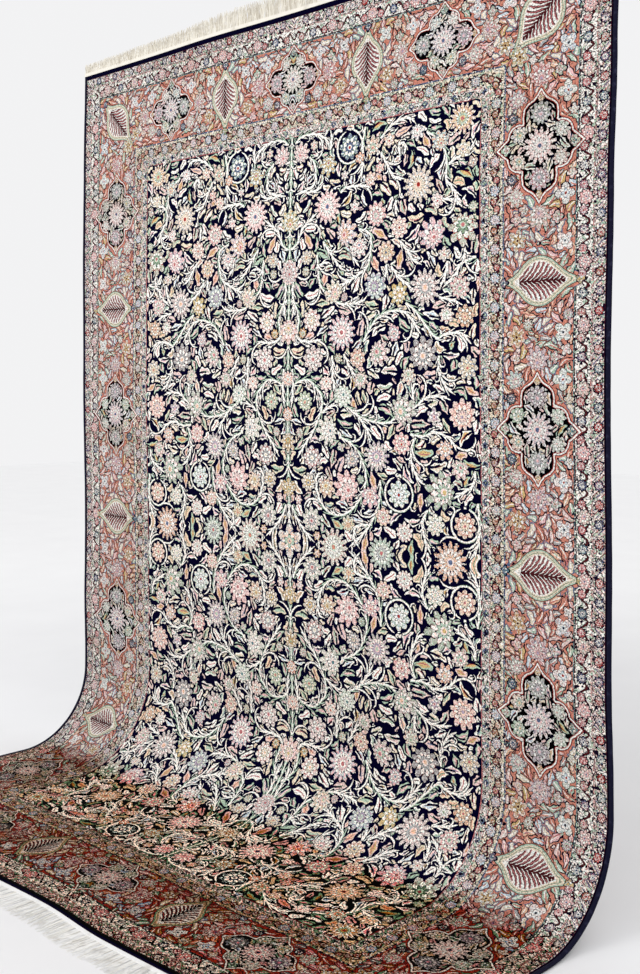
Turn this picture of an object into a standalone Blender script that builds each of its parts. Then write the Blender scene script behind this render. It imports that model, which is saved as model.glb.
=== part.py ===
"""Hand-knotted silk rug, hung from its top edge, with its foot drawn out across the floor.

Metres, +Z up, floor at Z = 0. The pile faces -Y, and X runs across the rug.
Every piece follows one sheet: x is the distance right of the rug's centre line, and
s is the distance down its length from the top edge, both measured with the rug laid flat.
"""

import bmesh
import bpy
import numpy as np

# The rug laid flat
RUG_WIDTH = 2.000
RUG_LENGTH = 2.985
PILE_THICKNESS = 0.006

# How it hangs
TOP_EDGE_HEIGHT = 2.260
SWELL_FADE = 0.25

# Sewn sides and woven ends
PIECE_GAP = 0.0003
BINDING_WIDTH = 0.012
BINDING_THICKNESS = 0.007
BINDING_SIDES = 8
WEB_DEPTH = 0.012
WEB_THICKNESS = 0.003

# Fringe locks
LOCKS_PER_END = 100
LOCK_ROOT_SHARE = 0.46
LOCK_TIP_WIDTH = 0.005
LOCK_TIP_THICKNESS = 0.002
LOCK_SWAY = 0.004
FLOOR_LOCK_LENGTH = 0.068
LOCK_LENGTH_SPREAD = 0.16
TOP_LOCK_LEAN = 0.0015
FRINGE_SEED = 41

# Facets along the hanging part, round the bend, along the floor part, and across
HANG_STEPS = 14
BEND_STEPS = 10
FLOOR_STEPS = 6
CROSS_STEPS = 20

# Radius of the bend between wall and floor, across the width
BEND_COLUMNS = ("x", "radius")
BENDS = (
    (-1.00, 0.244),
    (-0.60, 0.292),
    (0.00, 0.254),
    (0.60, 0.240),
    (1.00, 0.244),
)

# How far each side edge stands outside a straight rug, down the length
SIDE_DRIFT_COLUMNS = ("s", "left_out", "right_out")
SIDE_DRIFT = (
    (0.00, 0.000, 0.022),
    (0.30, 0.006, 0.014),
    (0.60, 0.008, 0.006),
    (1.00, 0.001, 0.001),
    (1.50, -0.010, 0.005),
    (2.00, -0.010, 0.005),
    (2.50, -0.009, 0.000),
    (3.10, -0.004, 0.008),
)

# How far the end on the floor reaches past a straight end, across the width
END_DRIFT_COLUMNS = ("x", "out")
END_DRIFT = (
    (-1.00, -0.006),
    (-0.60, -0.010),
    (-0.20, -0.002),
    (0.02, -0.006),
    (0.24, 0.007),
    (0.60, 0.000),
    (1.00, 0.002),
)

# Soft swells of the hanging part: centre, half widths, and how far each stands forward
SWELL_COLUMNS = ("x", "s", "half_x", "half_s", "forward")
SWELLS = (
    (-0.35, 0.10, 0.22, 0.30, 0.010),
    (0.55, 0.35, 0.30, 0.45, 0.012),
    (-0.75, 1.15, 0.28, 0.50, 0.009),
    (0.05, 1.25, 0.35, 0.60, 0.016),
    (0.93, 1.20, 0.16, 0.45, 0.010),
    (-0.88, 1.80, 0.14, 0.16, 0.007),
    (0.90, 1.72, 0.14, 0.20, 0.012),
    (0.45, 1.85, 0.20, 0.22, 0.008),
)

# How far the top fringe stands up, across the width
TOP_LOCK_COLUMNS = ("x", "length")
TOP_LOCK_LENGTHS = (
    (-1.00, 0.034),
    (-0.60, 0.042),
    (-0.20, 0.060),
    (0.20, 0.066),
    (1.00, 0.062),
)


def column(rows, names, name):
    return np.array([row[names.index(name)] for row in rows])


def eased(at, rows, names, name):
    """A table's column read between its rows, with a smooth start and end to each step."""
    places, values = column(rows, names, names[0]), column(rows, names, name)
    at = np.clip(at, places[0], places[-1])
    row = np.clip(np.searchsorted(places, at, side="right") - 1, 0, len(places) - 2)
    share = (at - places[row]) / (places[row + 1] - places[row])
    share = share * share * (3 - 2 * share)
    return values[row] + (values[row + 1] - values[row]) * share


def bend_radius(x):
    return eased(x, BENDS, BEND_COLUMNS, "radius")


def bend_start(x):
    """The length that hangs straight before the bend, so that the bend ends flat on the floor."""
    return TOP_EDGE_HEIGHT - PILE_THICKNESS / 2 - bend_radius(x)


def bend_end(x):
    return bend_start(x) + bend_radius(x) * np.pi / 2


def sheet(x, s, off=0.0):
    """Points of the draped sheet, off metres out of its middle towards the pile side."""
    x, s = np.broadcast_arrays(np.asarray(x, float), np.asarray(s, float))
    radius = bend_radius(x)
    start = bend_start(x)
    angle = np.clip((s - start) / radius, 0, np.pi / 2)
    out = radius * (1 - np.cos(angle)) + np.maximum(s - bend_end(x), 0)
    z = TOP_EDGE_HEIGHT - np.minimum(s, start) - radius * np.sin(angle)

    hung = np.clip((start - s) / SWELL_FADE, 0, 1)
    for row in SWELLS:
        swell = dict(zip(SWELL_COLUMNS, row))
        across = (x - swell["x"]) / swell["half_x"]
        down = (s - swell["s"]) / swell["half_s"]
        bell = np.exp(-across * across - down * down)
        out = out + swell["forward"] * bell * hung * hung * (3 - 2 * hung)

    lying = np.clip((s - bend_end(x)) / (RUG_LENGTH - bend_end(x)), 0, 1)
    out = out + lying * eased(x, END_DRIFT, END_DRIFT_COLUMNS, "out")

    left_out = eased(s, SIDE_DRIFT, SIDE_DRIFT_COLUMNS, "left_out")
    right_out = eased(s, SIDE_DRIFT, SIDE_DRIFT_COLUMNS, "right_out")
    across = x / RUG_WIDTH + 0.5
    drifted = x + right_out * across - left_out * (1 - across)

    # The pile side faces -Y where the rug hangs, and +Z where it lies.
    return np.stack(
        [drifted, -out - off * np.cos(angle), z + off * np.sin(angle)], axis=-1
    )


def stations(x):
    """Places down the length at which every lengthwise piece has a section."""
    hang = np.linspace(0, bend_start(x), HANG_STEPS, endpoint=False)
    bend = np.linspace(bend_start(x), bend_end(x), BEND_STEPS, endpoint=False)
    floor = np.linspace(bend_end(x), RUG_LENGTH, FLOOR_STEPS + 1)
    return np.concatenate([hang, bend, floor])


def make_material(name, colour, roughness):
    material = bpy.data.materials.new(name)
    material.use_nodes = True
    shader = material.node_tree.nodes["Principled BSDF"]
    shader.inputs["Base Color"].default_value = (*colour, 1)
    shader.inputs["Roughness"].default_value = roughness
    shader.inputs["Metallic"].default_value = 0
    return material


def add_object(name, bm, material, collection):
    """Turns the built mesh into a named object with its own material."""
    bmesh.ops.recalc_face_normals(bm, faces=bm.faces)
    mesh = bpy.data.meshes.new(name)
    bm.to_mesh(mesh)
    bm.free()
    mesh.materials.append(material)
    obj = bpy.data.objects.new(name, mesh)
    collection.objects.link(obj)
    return obj


def make_body(collection):
    """The knotted rug itself: a flat grid laid on the sheet and thickened to both sides."""
    edge = RUG_WIDTH / 2 - BINDING_WIDTH - PIECE_GAP
    rows = HANG_STEPS + BEND_STEPS + FLOOR_STEPS
    bm = bmesh.new()
    bmesh.ops.create_grid(bm, x_segments=CROSS_STEPS, y_segments=rows, size=0.5)
    for vert in bm.verts:
        x = 2 * edge * vert.co.x
        row = round((0.5 - vert.co.y) * rows)
        vert.co = sheet(x, stations(x)[row])
    obj = add_object(
        "rug_body", bm, make_material("silk_pile", (0.36, 0.28, 0.27), 0.6), collection
    )
    solidify = obj.modifiers.new("thickness", "SOLIDIFY")
    solidify.thickness = PILE_THICKNESS
    solidify.offset = 0
    obj.data.shade_smooth()
    return obj


def skin(bm, rings):
    """Joins each ring of points to the next, and closes the first and last."""
    loops = [[bm.verts.new(point) for point in ring] for ring in rings]
    for upper, lower in zip(loops, loops[1:]):
        for i in range(len(upper)):
            j = (i + 1) % len(upper)
            bm.faces.new((upper[i], upper[j], lower[j], lower[i]))
    bm.faces.new(loops[0])
    bm.faces.new(loops[-1])


def make_binding(name, side, collection):
    """An overcast side cord: an oval section lofted down the rug's edge, its back flush with the rug's."""
    half = BINDING_WIDTH / 2
    centre = side * (RUG_WIDTH / 2 - half)
    inner_edge = side * (RUG_WIDTH / 2 - BINDING_WIDTH)
    raised = (BINDING_THICKNESS - PILE_THICKNESS) / 2
    turn = np.linspace(0, 2 * np.pi, BINDING_SIDES, endpoint=False) + np.pi / BINDING_SIDES
    reach = np.cos(np.pi / BINDING_SIDES)
    across = centre + half * np.cos(turn) / reach
    off = raised + BINDING_THICKNESS / 2 * np.sin(turn) / reach
    bm = bmesh.new()
    skin(bm, [sheet(across, s, off) for s in stations(inner_edge)])
    material = make_material(name + "_silk", (0.02, 0.022, 0.055), 0.7)
    obj = add_object(name, bm, material, collection)
    obj.data.shade_smooth()
    return obj


def web_places():
    """Edges along an end web, left to right: each lock's root, then the gap beside it."""
    pitch = RUG_WIDTH / LOCKS_PER_END
    gap = pitch * (1 - LOCK_ROOT_SHARE)
    starts = -RUG_WIDTH / 2 + gap / 2 + pitch * np.arange(LOCKS_PER_END)
    roots = np.stack([starts, starts + pitch * LOCK_ROOT_SHARE], axis=1).ravel()
    return np.concatenate([[-RUG_WIDTH / 2], roots, [RUG_WIDTH / 2]])


def end_edge(x, s):
    """The rug's end at x along the straight facets between its crosswise sections."""
    edge = RUG_WIDTH / 2 - BINDING_WIDTH - PIECE_GAP
    inner = np.linspace(-edge, edge, CROSS_STEPS + 1)
    knots = np.concatenate([[-RUG_WIDTH / 2], inner, [RUG_WIDTH / 2]])
    points = sheet(knots, s)
    return np.array([np.interp(x, knots, points[:, axis]) for axis in range(3)])


def make_fringe(name, place, lock_path, collection):
    """A narrow web with a row of locks drawn out of its free side.

    place(x, depth, height) gives a point of the web, and lock_path(index) the centre
    of that lock's end face at each of its steps, with its width and thickness.
    """
    bm = bmesh.new()
    corners = ((0, 0), (1, 0), (1, 1), (0, 1))
    skin(bm, [[place(x, d, h) for d, h in corners] for x in web_places()])
    bmesh.ops.recalc_face_normals(bm, faces=bm.faces)
    bm.verts.ensure_lookup_table()
    bm.faces.ensure_lookup_table()
    sides = len(corners)
    # Between sections 2i + 1 and 2i + 2 the second side face is the root of lock i.
    roots = [bm.faces[(2 * i + 1) * sides + 1] for i in range(LOCKS_PER_END)]
    for index, face in enumerate(roots):
        for centre, along, up, width, thickness in lock_path(index):
            middle = face.calc_center_median()
            spread = [vert.co - middle for vert in face.verts]
            right = [np.sign(np.dot(offset, along)) for offset in spread]
            above = [np.sign(np.dot(offset, up)) for offset in spread]
            face = bmesh.ops.extrude_discrete_faces(bm, faces=[face])["faces"][0]
            for vert, a, b in zip(face.verts, right, above):
                vert.co = centre + along * a * width / 2 + up * b * thickness / 2
    material = make_material(name + "_silk", (0.78, 0.74, 0.64), 0.75)
    return add_object(name, bm, material, collection)


def lock_root(index):
    """The distance right of the centre line at which a lock leaves its web."""
    pitch = RUG_WIDTH / LOCKS_PER_END
    return -RUG_WIDTH / 2 + pitch * (index + 0.5)


def make_top_fringe(collection):
    """Warp ends that stand up past the hung edge and lean back."""
    rng = np.random.default_rng(FRINGE_SEED)
    along, up = np.array([1.0, 0, 0]), np.array([0, -1.0, 0])
    pitch = RUG_WIDTH / LOCKS_PER_END
    sway = LOCK_SWAY * np.sin(np.arange(LOCKS_PER_END) * 0.55) + rng.normal(
        0, LOCK_SWAY / 4, LOCKS_PER_END
    )
    scale = 1 + LOCK_LENGTH_SPREAD * rng.uniform(-1, 0, LOCKS_PER_END)

    def place(x, depth, height):
        rise = PIECE_GAP + WEB_DEPTH * depth
        forward = WEB_THICKNESS * (height - 0.5)
        return end_edge(x, 0) + np.array([0, -forward, rise])

    def lock_path(index):
        x = lock_root(index)
        root = place(x, 1, 0.5)
        length = eased(x, TOP_LOCK_LENGTHS, TOP_LOCK_COLUMNS, "length") * scale[index]
        root_width = pitch * LOCK_ROOT_SHARE
        for share in (0.5, 1.0):
            shift = np.array([sway[index], 0, length]) * share
            shift[1] = TOP_LOCK_LEAN * share * share
            width = root_width + (LOCK_TIP_WIDTH - root_width) * share
            thickness = WEB_THICKNESS + (LOCK_TIP_THICKNESS - WEB_THICKNESS) * share
            yield root + shift, along, up, width, thickness

    return make_fringe("top_fringe", place, lock_path, collection)


def make_floor_fringe(collection):
    """Warp ends that lie level on the floor past the drawn-out end."""
    rng = np.random.default_rng(FRINGE_SEED + 1)
    along, up = np.array([1.0, 0, 0]), np.array([0, 0, 1.0])
    pitch = RUG_WIDTH / LOCKS_PER_END
    sway = LOCK_SWAY * np.sin(np.arange(LOCKS_PER_END) * 0.37 + 1) + rng.normal(
        0, LOCK_SWAY / 4, LOCKS_PER_END
    )
    scale = 1 + LOCK_LENGTH_SPREAD * rng.uniform(-1, 1, LOCKS_PER_END)

    def place(x, depth, height):
        edge = end_edge(x, RUG_LENGTH)
        y = edge[1] - PIECE_GAP - WEB_DEPTH * depth
        return np.array([edge[0], y, WEB_THICKNESS * height])

    def lock_path(index):
        root = place(lock_root(index), 1, 0)
        length = FLOOR_LOCK_LENGTH * scale[index]
        root_width = pitch * LOCK_ROOT_SHARE
        for share in (0.5, 1.0):
            width = root_width + (LOCK_TIP_WIDTH - root_width) * share
            thickness = WEB_THICKNESS + (LOCK_TIP_THICKNESS - WEB_THICKNESS) * share
            shift = np.array([sway[index] * share * share, -length * share, thickness / 2])
            yield root + shift, along, up, width, thickness

    return make_fringe("floor_fringe", place, lock_path, collection)


def stand_on_origin(parts):
    """Moves the pieces together, so that the middle of their underside is the origin."""
    bpy.context.view_layer.update()
    graph = bpy.context.evaluated_depsgraph_get()
    corners = []
    for part in parts:
        mesh = part.evaluated_get(graph).to_mesh()
        points = np.empty(len(mesh.vertices) * 3, np.float32)
        mesh.vertices.foreach_get("co", points)
        points = points.reshape(-1, 3)
        corners += [points.min(axis=0), points.max(axis=0)]
    low, high = np.min(corners, axis=0), np.max(corners, axis=0)
    for part in parts:
        part.location = (-(low[0] + high[0]) / 2, -(low[1] + high[1]) / 2, -low[2])


def main():
    for obj in list(bpy.data.objects):
        bpy.data.objects.remove(obj, do_unlink=True)
    collection = bpy.data.collections.new("silk_rug")
    bpy.context.scene.collection.children.link(collection)
    parts = [
        make_body(collection),
        make_binding("left_binding", -1, collection),
        make_binding("right_binding", 1, collection),
        make_top_fringe(collection),
        make_floor_fringe(collection),
    ]
    stand_on_origin(parts)


main()
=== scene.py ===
"""Hand-knotted silk rug, hung from its top edge with its foot drawn out across the floor.

Metres, +Z up. The pile faces -Y where the rug hangs and +Z where it lies. Every piece
follows one sheet: x is the distance right of the rug's centre line, and s the distance
down its length from the top edge, both measured with the rug laid flat.
"""

import math

import bpy
import numpy as np
from mathutils import Matrix, Vector


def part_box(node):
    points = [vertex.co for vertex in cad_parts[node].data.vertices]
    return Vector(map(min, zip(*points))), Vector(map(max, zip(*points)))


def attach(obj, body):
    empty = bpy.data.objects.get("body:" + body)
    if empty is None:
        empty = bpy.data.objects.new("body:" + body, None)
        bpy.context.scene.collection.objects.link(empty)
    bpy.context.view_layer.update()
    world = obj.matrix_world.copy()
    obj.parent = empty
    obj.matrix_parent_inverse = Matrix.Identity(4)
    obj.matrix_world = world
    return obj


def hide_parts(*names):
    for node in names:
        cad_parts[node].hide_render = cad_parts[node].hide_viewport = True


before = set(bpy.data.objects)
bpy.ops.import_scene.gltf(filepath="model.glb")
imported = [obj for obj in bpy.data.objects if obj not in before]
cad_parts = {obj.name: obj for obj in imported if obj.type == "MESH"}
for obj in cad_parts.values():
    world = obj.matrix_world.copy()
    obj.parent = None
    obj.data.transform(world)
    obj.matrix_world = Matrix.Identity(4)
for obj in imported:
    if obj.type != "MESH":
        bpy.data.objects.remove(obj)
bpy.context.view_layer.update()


# The camera stands a little right of the rug, at chest height, and looks along its face.
# It holds the photograph's view: where it stands, its turn, its lens and its small shift.

EYE = (2.335, -1.919, 1.224)
EYE_TURN, EYE_TILT, EYE_ROLL = 45.525, 0.269, 0.117
PHOTO_WIDTH, PHOTO_HEIGHT = 640, 974
FOCAL_PIXELS = 1179.15
PHOTO_AXIS = (270.8, 373.3)
SENSOR_WIDTH = 36.0


def stood(name, data):
    """An object of that name and data, in the scene."""
    made = bpy.data.objects.new(name, data)
    bpy.context.scene.collection.objects.link(made)
    return made


camera_data = bpy.data.cameras.new("view_camera")
camera_data.sensor_fit = "HORIZONTAL"
camera_data.sensor_width = SENSOR_WIDTH
camera_data.lens = FOCAL_PIXELS / PHOTO_WIDTH * SENSOR_WIDTH
camera_data.shift_x = (PHOTO_WIDTH / 2 - PHOTO_AXIS[0]) / PHOTO_WIDTH
camera_data.shift_y = -(PHOTO_HEIGHT / 2 - PHOTO_AXIS[1]) / PHOTO_WIDTH
camera_data.clip_start = 0.05
camera = stood("view_camera", camera_data)
turn = Matrix.Rotation(math.radians(EYE_TURN), 4, "Z")
tilt = Matrix.Rotation(math.radians(90 + EYE_TILT), 4, "X")
roll = Matrix.Rotation(math.radians(EYE_ROLL), 4, "Z")
camera.matrix_world = Matrix.Translation(EYE) @ turn @ tilt @ roll
bpy.context.scene.camera = camera


# The pile. Silk knots tied row by row on a silk foundation and sheared to a few
# millimetres. It is one cloth: the rug hangs straight, turns through a soft bend and lies
# on the floor. Low swells stand forward as it hangs, and the side edges wander a little.

RUG_WIDTH = 2.000
RUG_LENGTH = 2.985
PILE_THICKNESS = 0.006
TOP_EDGE_HEIGHT = 2.260
SWELL_FADE = 0.25
PIECE_GAP = 0.0003
BINDING_WIDTH = 0.012

# x, bend radius
BENDS = ((-1.00, 0.244), (-0.60, 0.292), (0.00, 0.254), (0.60, 0.240), (1.00, 0.244))
# s, left edge out, right edge out
SIDE_DRIFT = (
    (0.00, 0.000, 0.022),
    (0.30, 0.006, 0.014),
    (0.60, 0.008, 0.006),
    (1.00, 0.001, 0.001),
    (1.50, -0.010, 0.005),
    (2.00, -0.010, 0.005),
    (2.50, -0.009, 0.000),
    (3.10, -0.004, 0.008),
)
# x, how far the end on the floor reaches past a straight end
END_DRIFT = (
    (-1.00, -0.006),
    (-0.60, -0.010),
    (-0.20, -0.002),
    (0.02, -0.006),
    (0.24, 0.007),
    (0.60, 0.000),
    (1.00, 0.002),
)
# x, s, half width, half length, how far forward
SWELLS = (
    (-0.35, 0.10, 0.22, 0.30, 0.010),
    (0.55, 0.35, 0.30, 0.45, 0.012),
    (-0.75, 1.15, 0.28, 0.50, 0.009),
    (0.05, 1.25, 0.35, 0.60, 0.016),
    (0.93, 1.20, 0.16, 0.45, 0.010),
    (-0.88, 1.80, 0.14, 0.16, 0.007),
    (0.90, 1.72, 0.14, 0.20, 0.012),
    (0.45, 1.85, 0.20, 0.22, 0.008),
)


def eased(at, rows, column=1):
    """A table's column read between its rows, each step running as 3t2 - 2t3."""
    rows = np.array(rows)
    places, values = rows[:, 0], rows[:, column]
    at = np.clip(at, places[0], places[-1])
    row = np.clip(np.searchsorted(places, at, side="right") - 1, 0, len(places) - 2)
    share = (at - places[row]) / (places[row + 1] - places[row])
    return values[row] + (values[row + 1] - values[row]) * share * share * (3 - 2 * share)


def sheet(x, s, off=0.0):
    """Points of the draped sheet, off metres out of its middle towards the pile.

    Down to the bend the sheet drops by s. Round the bend it follows a quarter circle.
    Past it the rest of s runs out along the floor. Each swell adds a bell shape to the
    distance from the wall, and the edge tables add the drift of the sides and the end.
    """
    x, s = np.broadcast_arrays(np.asarray(x, float), np.asarray(s, float))
    radius = eased(x, BENDS)
    start = TOP_EDGE_HEIGHT - PILE_THICKNESS / 2 - radius
    end = start + radius * np.pi / 2
    angle = np.clip((s - start) / radius, 0, np.pi / 2)
    out = radius * (1 - np.cos(angle)) + np.maximum(s - end, 0)
    z = TOP_EDGE_HEIGHT - np.minimum(s, start) - radius * np.sin(angle)
    hung = np.clip((start - s) / SWELL_FADE, 0, 1)
    for x0, s0, half_x, half_s, forward in SWELLS:
        bell = np.exp(-(((x - x0) / half_x) ** 2) - ((s - s0) / half_s) ** 2)
        out = out + forward * bell * hung * hung * (3 - 2 * hung)
    out = out + np.clip((s - end) / (RUG_LENGTH - end), 0, 1) * eased(x, END_DRIFT)
    across = x / RUG_WIDTH + 0.5
    drifted = x + eased(s, SIDE_DRIFT, 2) * across - eased(s, SIDE_DRIFT, 1) * (1 - across)
    local = np.stack([drifted, -out - off * np.cos(angle), z + off * np.sin(angle)], axis=-1)
    return local + rug_place


# The sheet is first read about its own origin, to find the rug's place in the frame.
rug_place = np.zeros(3)
rug_place = np.array([
    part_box("right_binding")[1].x - sheet(RUG_WIDTH / 2, 0)[0],
    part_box("rug_body")[1].y - PILE_THICKNESS / 2,
    0,
])


# The pile's design is charted for one quarter of the rug and mirrored to the
# others. It is drawn with the rug laid flat: a navy field of vines and blossoms, three
# narrow guards and a coral main border of lobed medallions and drop-shaped flowers.

HALF_LENGTH = RUG_LENGTH / 2
SIDE = RUG_WIDTH / 2
FIELD_EDGE = 0.352
BORDER_CENTRE = 0.189
CORAL_START, CORAL_END = 0.092, 0.284
NAVY_EDGE = 0.0155

SILKS = {
    "navy": (9, 7, 36), "black": (5, 4, 9), "ivory": (240, 238, 232),
    "cream": (226, 214, 192), "peach": (228, 188, 160), "pink": (230, 190, 190),
    "rose": (184, 112, 114), "coral": (202, 134, 116), "ochre": (180, 146, 94),
    "gold": (206, 178, 124), "sage": (176, 198, 178), "leaf": (126, 152, 126),
    "teal": (86, 124, 130), "slate": (92, 106, 136), "mauve": (176, 160, 180),
    "brown": (74, 34, 38), "red": (158, 54, 50), "sky": (200, 214, 224),
    "grey": (172, 172, 172), "blush": (226, 200, 196), "ink": (26, 18, 36),
}


def dyed(name):
    """A silk's colour as light: each channel over 255, raised to 2.2."""
    return (*(np.array(SILKS[name]) / 255) ** 2.2, 1.0)


# petals, depth of the notches, how pointed the petals are, how far the flower leans up
FLOWERS = {
    "aster": (15, 0.40, 1.2, 0.0),
    "rosette": (9, 0.28, 1.0, 0.06),
    "star": (6, 0.44, 1.1, 0.08),
    "layered": (11, 0.30, 1.0, 0.18),
    "palmette": (9, 0.36, 1.1, 0.34),
    "fan": (11, 0.36, 1.1, 0.40),
    "bud": (5, 0.40, 1.0, 0.38),
    "wing": (4, 0.52, 0.9, 0.10),
}

# flower, x, s, radius, turn in degrees from up the rug, petals, ring and heart
FIELD_FLOWERS = (
    ("aster", 0.143, 0.563, 0.050, 20, "pink", "ivory", "slate"),
    ("aster", 0.460, 0.540, 0.050, -70, "peach", "cream", "red"),
    ("aster", 0.593, 0.393, 0.040, 0, "gold", "sage", "rose"),
    ("palmette", 0.597, 0.667, 0.043, 180, "sage", "leaf", "rose"),
    ("rosette", 0.220, 0.410, 0.036, 0, "ivory", "slate", "red"),
    ("rosette", 0.397, 0.643, 0.030, 0, "cream", "blush", "red"),
    ("rosette", 0.353, 0.703, 0.030, 20, "gold", "cream", "slate"),
    ("fan", 0.217, 0.640, 0.037, 60, "pink", "peach", "rose"),
    ("layered", 0.320, 0.600, 0.034, 30, "sage", "pink", "grey"),
    ("palmette", 0.303, 0.417, 0.027, 0, "peach", "sage", "rose"),
    ("palmette", 0.143, 0.453, 0.030, 180, "sage", "gold", "rose"),
    ("star", 0.360, 0.413, 0.020, 0, "pink", "cream", "red"),
    ("fan", 0.040, 0.400, 0.030, 40, "pink", "blush", "rose"),
    ("star", 0.087, 0.387, 0.015, 0, "cream", "pink", "red"),
    ("palmette", 0.453, 0.407, 0.022, 180, "pink", "ivory", "rose"),
    ("palmette", 0.527, 0.437, 0.027, -20, "sage", "peach", "rose"),
    ("star", 0.597, 0.467, 0.023, 0, "peach", "cream", "slate"),
    ("fan", 0.260, 0.687, 0.028, 180, "ivory", "pink", "slate"),
    ("fan", 0.500, 0.667, 0.040, -40, "blush", "pink", "rose"),
    ("star", 0.540, 0.723, 0.020, 0, "pink", "cream", "red"),
    ("palmette", 0.300, 0.507, 0.020, 90, "pink", "cream", "rose"),
    ("star", 0.243, 0.573, 0.018, 0, "pink", "ivory", "rose"),
    ("rosette", 0.067, 0.697, 0.022, 0, "gold", "cream", "rose"),
    ("fan", 0.000, 0.587, 0.034, 0, "cream", "gold", "rose"),
    ("star", 0.520, 0.587, 0.020, 0, "pink", "ivory", "red"),
    ("aster", 0.200, 0.910, 0.050, -20, "ivory", "pink", "rose"),
    ("rosette", 0.097, 0.980, 0.037, 0, "pink", "ivory", "rose"),
    ("rosette", 0.090, 0.873, 0.033, 30, "ivory", "cream", "peach"),
    ("aster", 0.480, 0.803, 0.050, 0, "blush", "grey", "peach"),
    ("layered", 0.587, 0.807, 0.030, 0, "sage", "pink", "leaf"),
    ("rosette", 0.603, 0.880, 0.029, 0, "gold", "peach", "rose"),
    ("palmette", 0.547, 0.877, 0.022, 180, "sage", "ivory", "leaf"),
    ("layered", 0.473, 0.970, 0.044, 0, "blush", "grey", "peach"),
    ("rosette", 0.610, 1.007, 0.031, 10, "gold", "cream", "rose"),
    ("palmette", 0.393, 0.813, 0.030, -40, "peach", "gold", "ivory"),
    ("layered", 0.317, 0.790, 0.037, 60, "sage", "mauve", "grey"),
    ("fan", 0.167, 0.797, 0.032, -50, "peach", "blush", "sage"),
    ("rosette", 0.380, 0.917, 0.022, 0, "sage", "pink", "slate"),
    ("fan", 0.333, 0.970, 0.034, 120, "pink", "sage", "rose"),
    ("rosette", 0.257, 0.980, 0.027, 20, "peach", "cream", "rose"),
    ("palmette", 0.147, 1.050, 0.023, 180, "peach", "ivory", "red"),
    ("layered", 0.067, 1.097, 0.028, 0, "gold", "sage", "rose"),
    ("layered", 0.207, 1.083, 0.032, 200, "sage", "ivory", "teal"),
    ("fan", 0.413, 1.113, 0.040, 60, "blush", "sage", "peach"),
    ("palmette", 0.427, 1.030, 0.023, 180, "sage", "cream", "leaf"),
    ("layered", 0.593, 1.123, 0.040, 0, "peach", "blush", "mauve"),
    ("star", 0.507, 1.130, 0.023, 0, "pink", "mauve", "rose"),
    ("fan", 0.270, 1.040, 0.024, 150, "blush", "sage", "leaf"),
    ("fan", 0.147, 1.177, 0.038, -90, "blush", "ivory", "teal"),
    ("rosette", 0.403, 1.203, 0.030, 0, "cream", "pink", "red"),
    ("aster", 0.320, 1.240, 0.043, 60, "pink", "mauve", "sage"),
    ("rosette", 0.093, 1.253, 0.033, 0, "ivory", "grey", "cream"),
    ("layered", 0.237, 1.247, 0.025, 0, "peach", "grey", "leaf"),
    ("fan", 0.213, 1.323, 0.042, -40, "pink", "blush", "rose"),
    ("rosette", 0.077, 1.322, 0.026, 0, "cream", "gold", "slate"),
    ("palmette", 0.146, 1.335, 0.028, 150, "gold", "cream", "ochre"),
    ("rosette", 0.392, 1.334, 0.036, 0, "sky", "ivory", "red"),
    ("fan", 0.520, 1.317, 0.047, -80, "pink", "sage", "gold"),
    ("rosette", 0.598, 1.397, 0.033, 20, "peach", "cream", "rose"),
    ("palmette", 0.538, 1.215, 0.026, 200, "pink", "peach", "sage"),
    ("palmette", 0.584, 1.262, 0.026, 200, "pink", "sage", "rose"),
    ("palmette", 0.297, 1.350, 0.029, 180, "peach", "pink", "rose"),
    ("rosette", 0.507, 1.403, 0.029, 0, "peach", "ivory", "sage"),
    ("layered", 0.409, 1.430, 0.027, 0, "sage", "ivory", "rose"),
    ("layered", 0.087, 1.423, 0.035, 0, "blush", "grey", "rose"),
    ("rosette", 0.340, 1.397, 0.025, 0, "pink", "cream", "rose"),
    ("palmette", 0.220, 1.423, 0.022, 0, "gold", "peach", "rose"),
    ("aster", 0.553, 1.4925, 0.053, 0, "blush", "peach", "slate"),
    ("aster", 0.333, 1.4925, 0.045, 90, "sage", "grey", "rose"),
    ("aster", 0.167, 1.4925, 0.052, 90, "sage", "ivory", "coral"),
    ("palmette", 0.000, 1.217, 0.028, 180, "gold", "ochre", "leaf"),
    ("star", 0.000, 1.4925, 0.048, 0, "peach", "sage", "slate"),
    ("layered", 0.000, 0.735, 0.036, 0, "grey", "blush", "rose"),
    ("fan", 0.000, 0.905, 0.036, 180, "pink", "cream", "gold"),
    ("star", 0.330, 0.480, 0.016, 0, "pink", "cream", "red"),
    ("star", 0.205, 0.485, 0.014, 0, "ivory", "pink", "navy"),
    ("star", 0.258, 0.445, 0.016, 0, "peach", "ivory", "red"),
    ("layered", 0.000, 1.035, 0.022, 0, "peach", "ivory", "rose"),
    ("layered", 0.000, 1.135, 0.020, 0, "ivory", "peach", "slate"),
    ("palmette", 0.000, 1.340, 0.026, 0, "gold", "gold", "leaf"),
)

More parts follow.
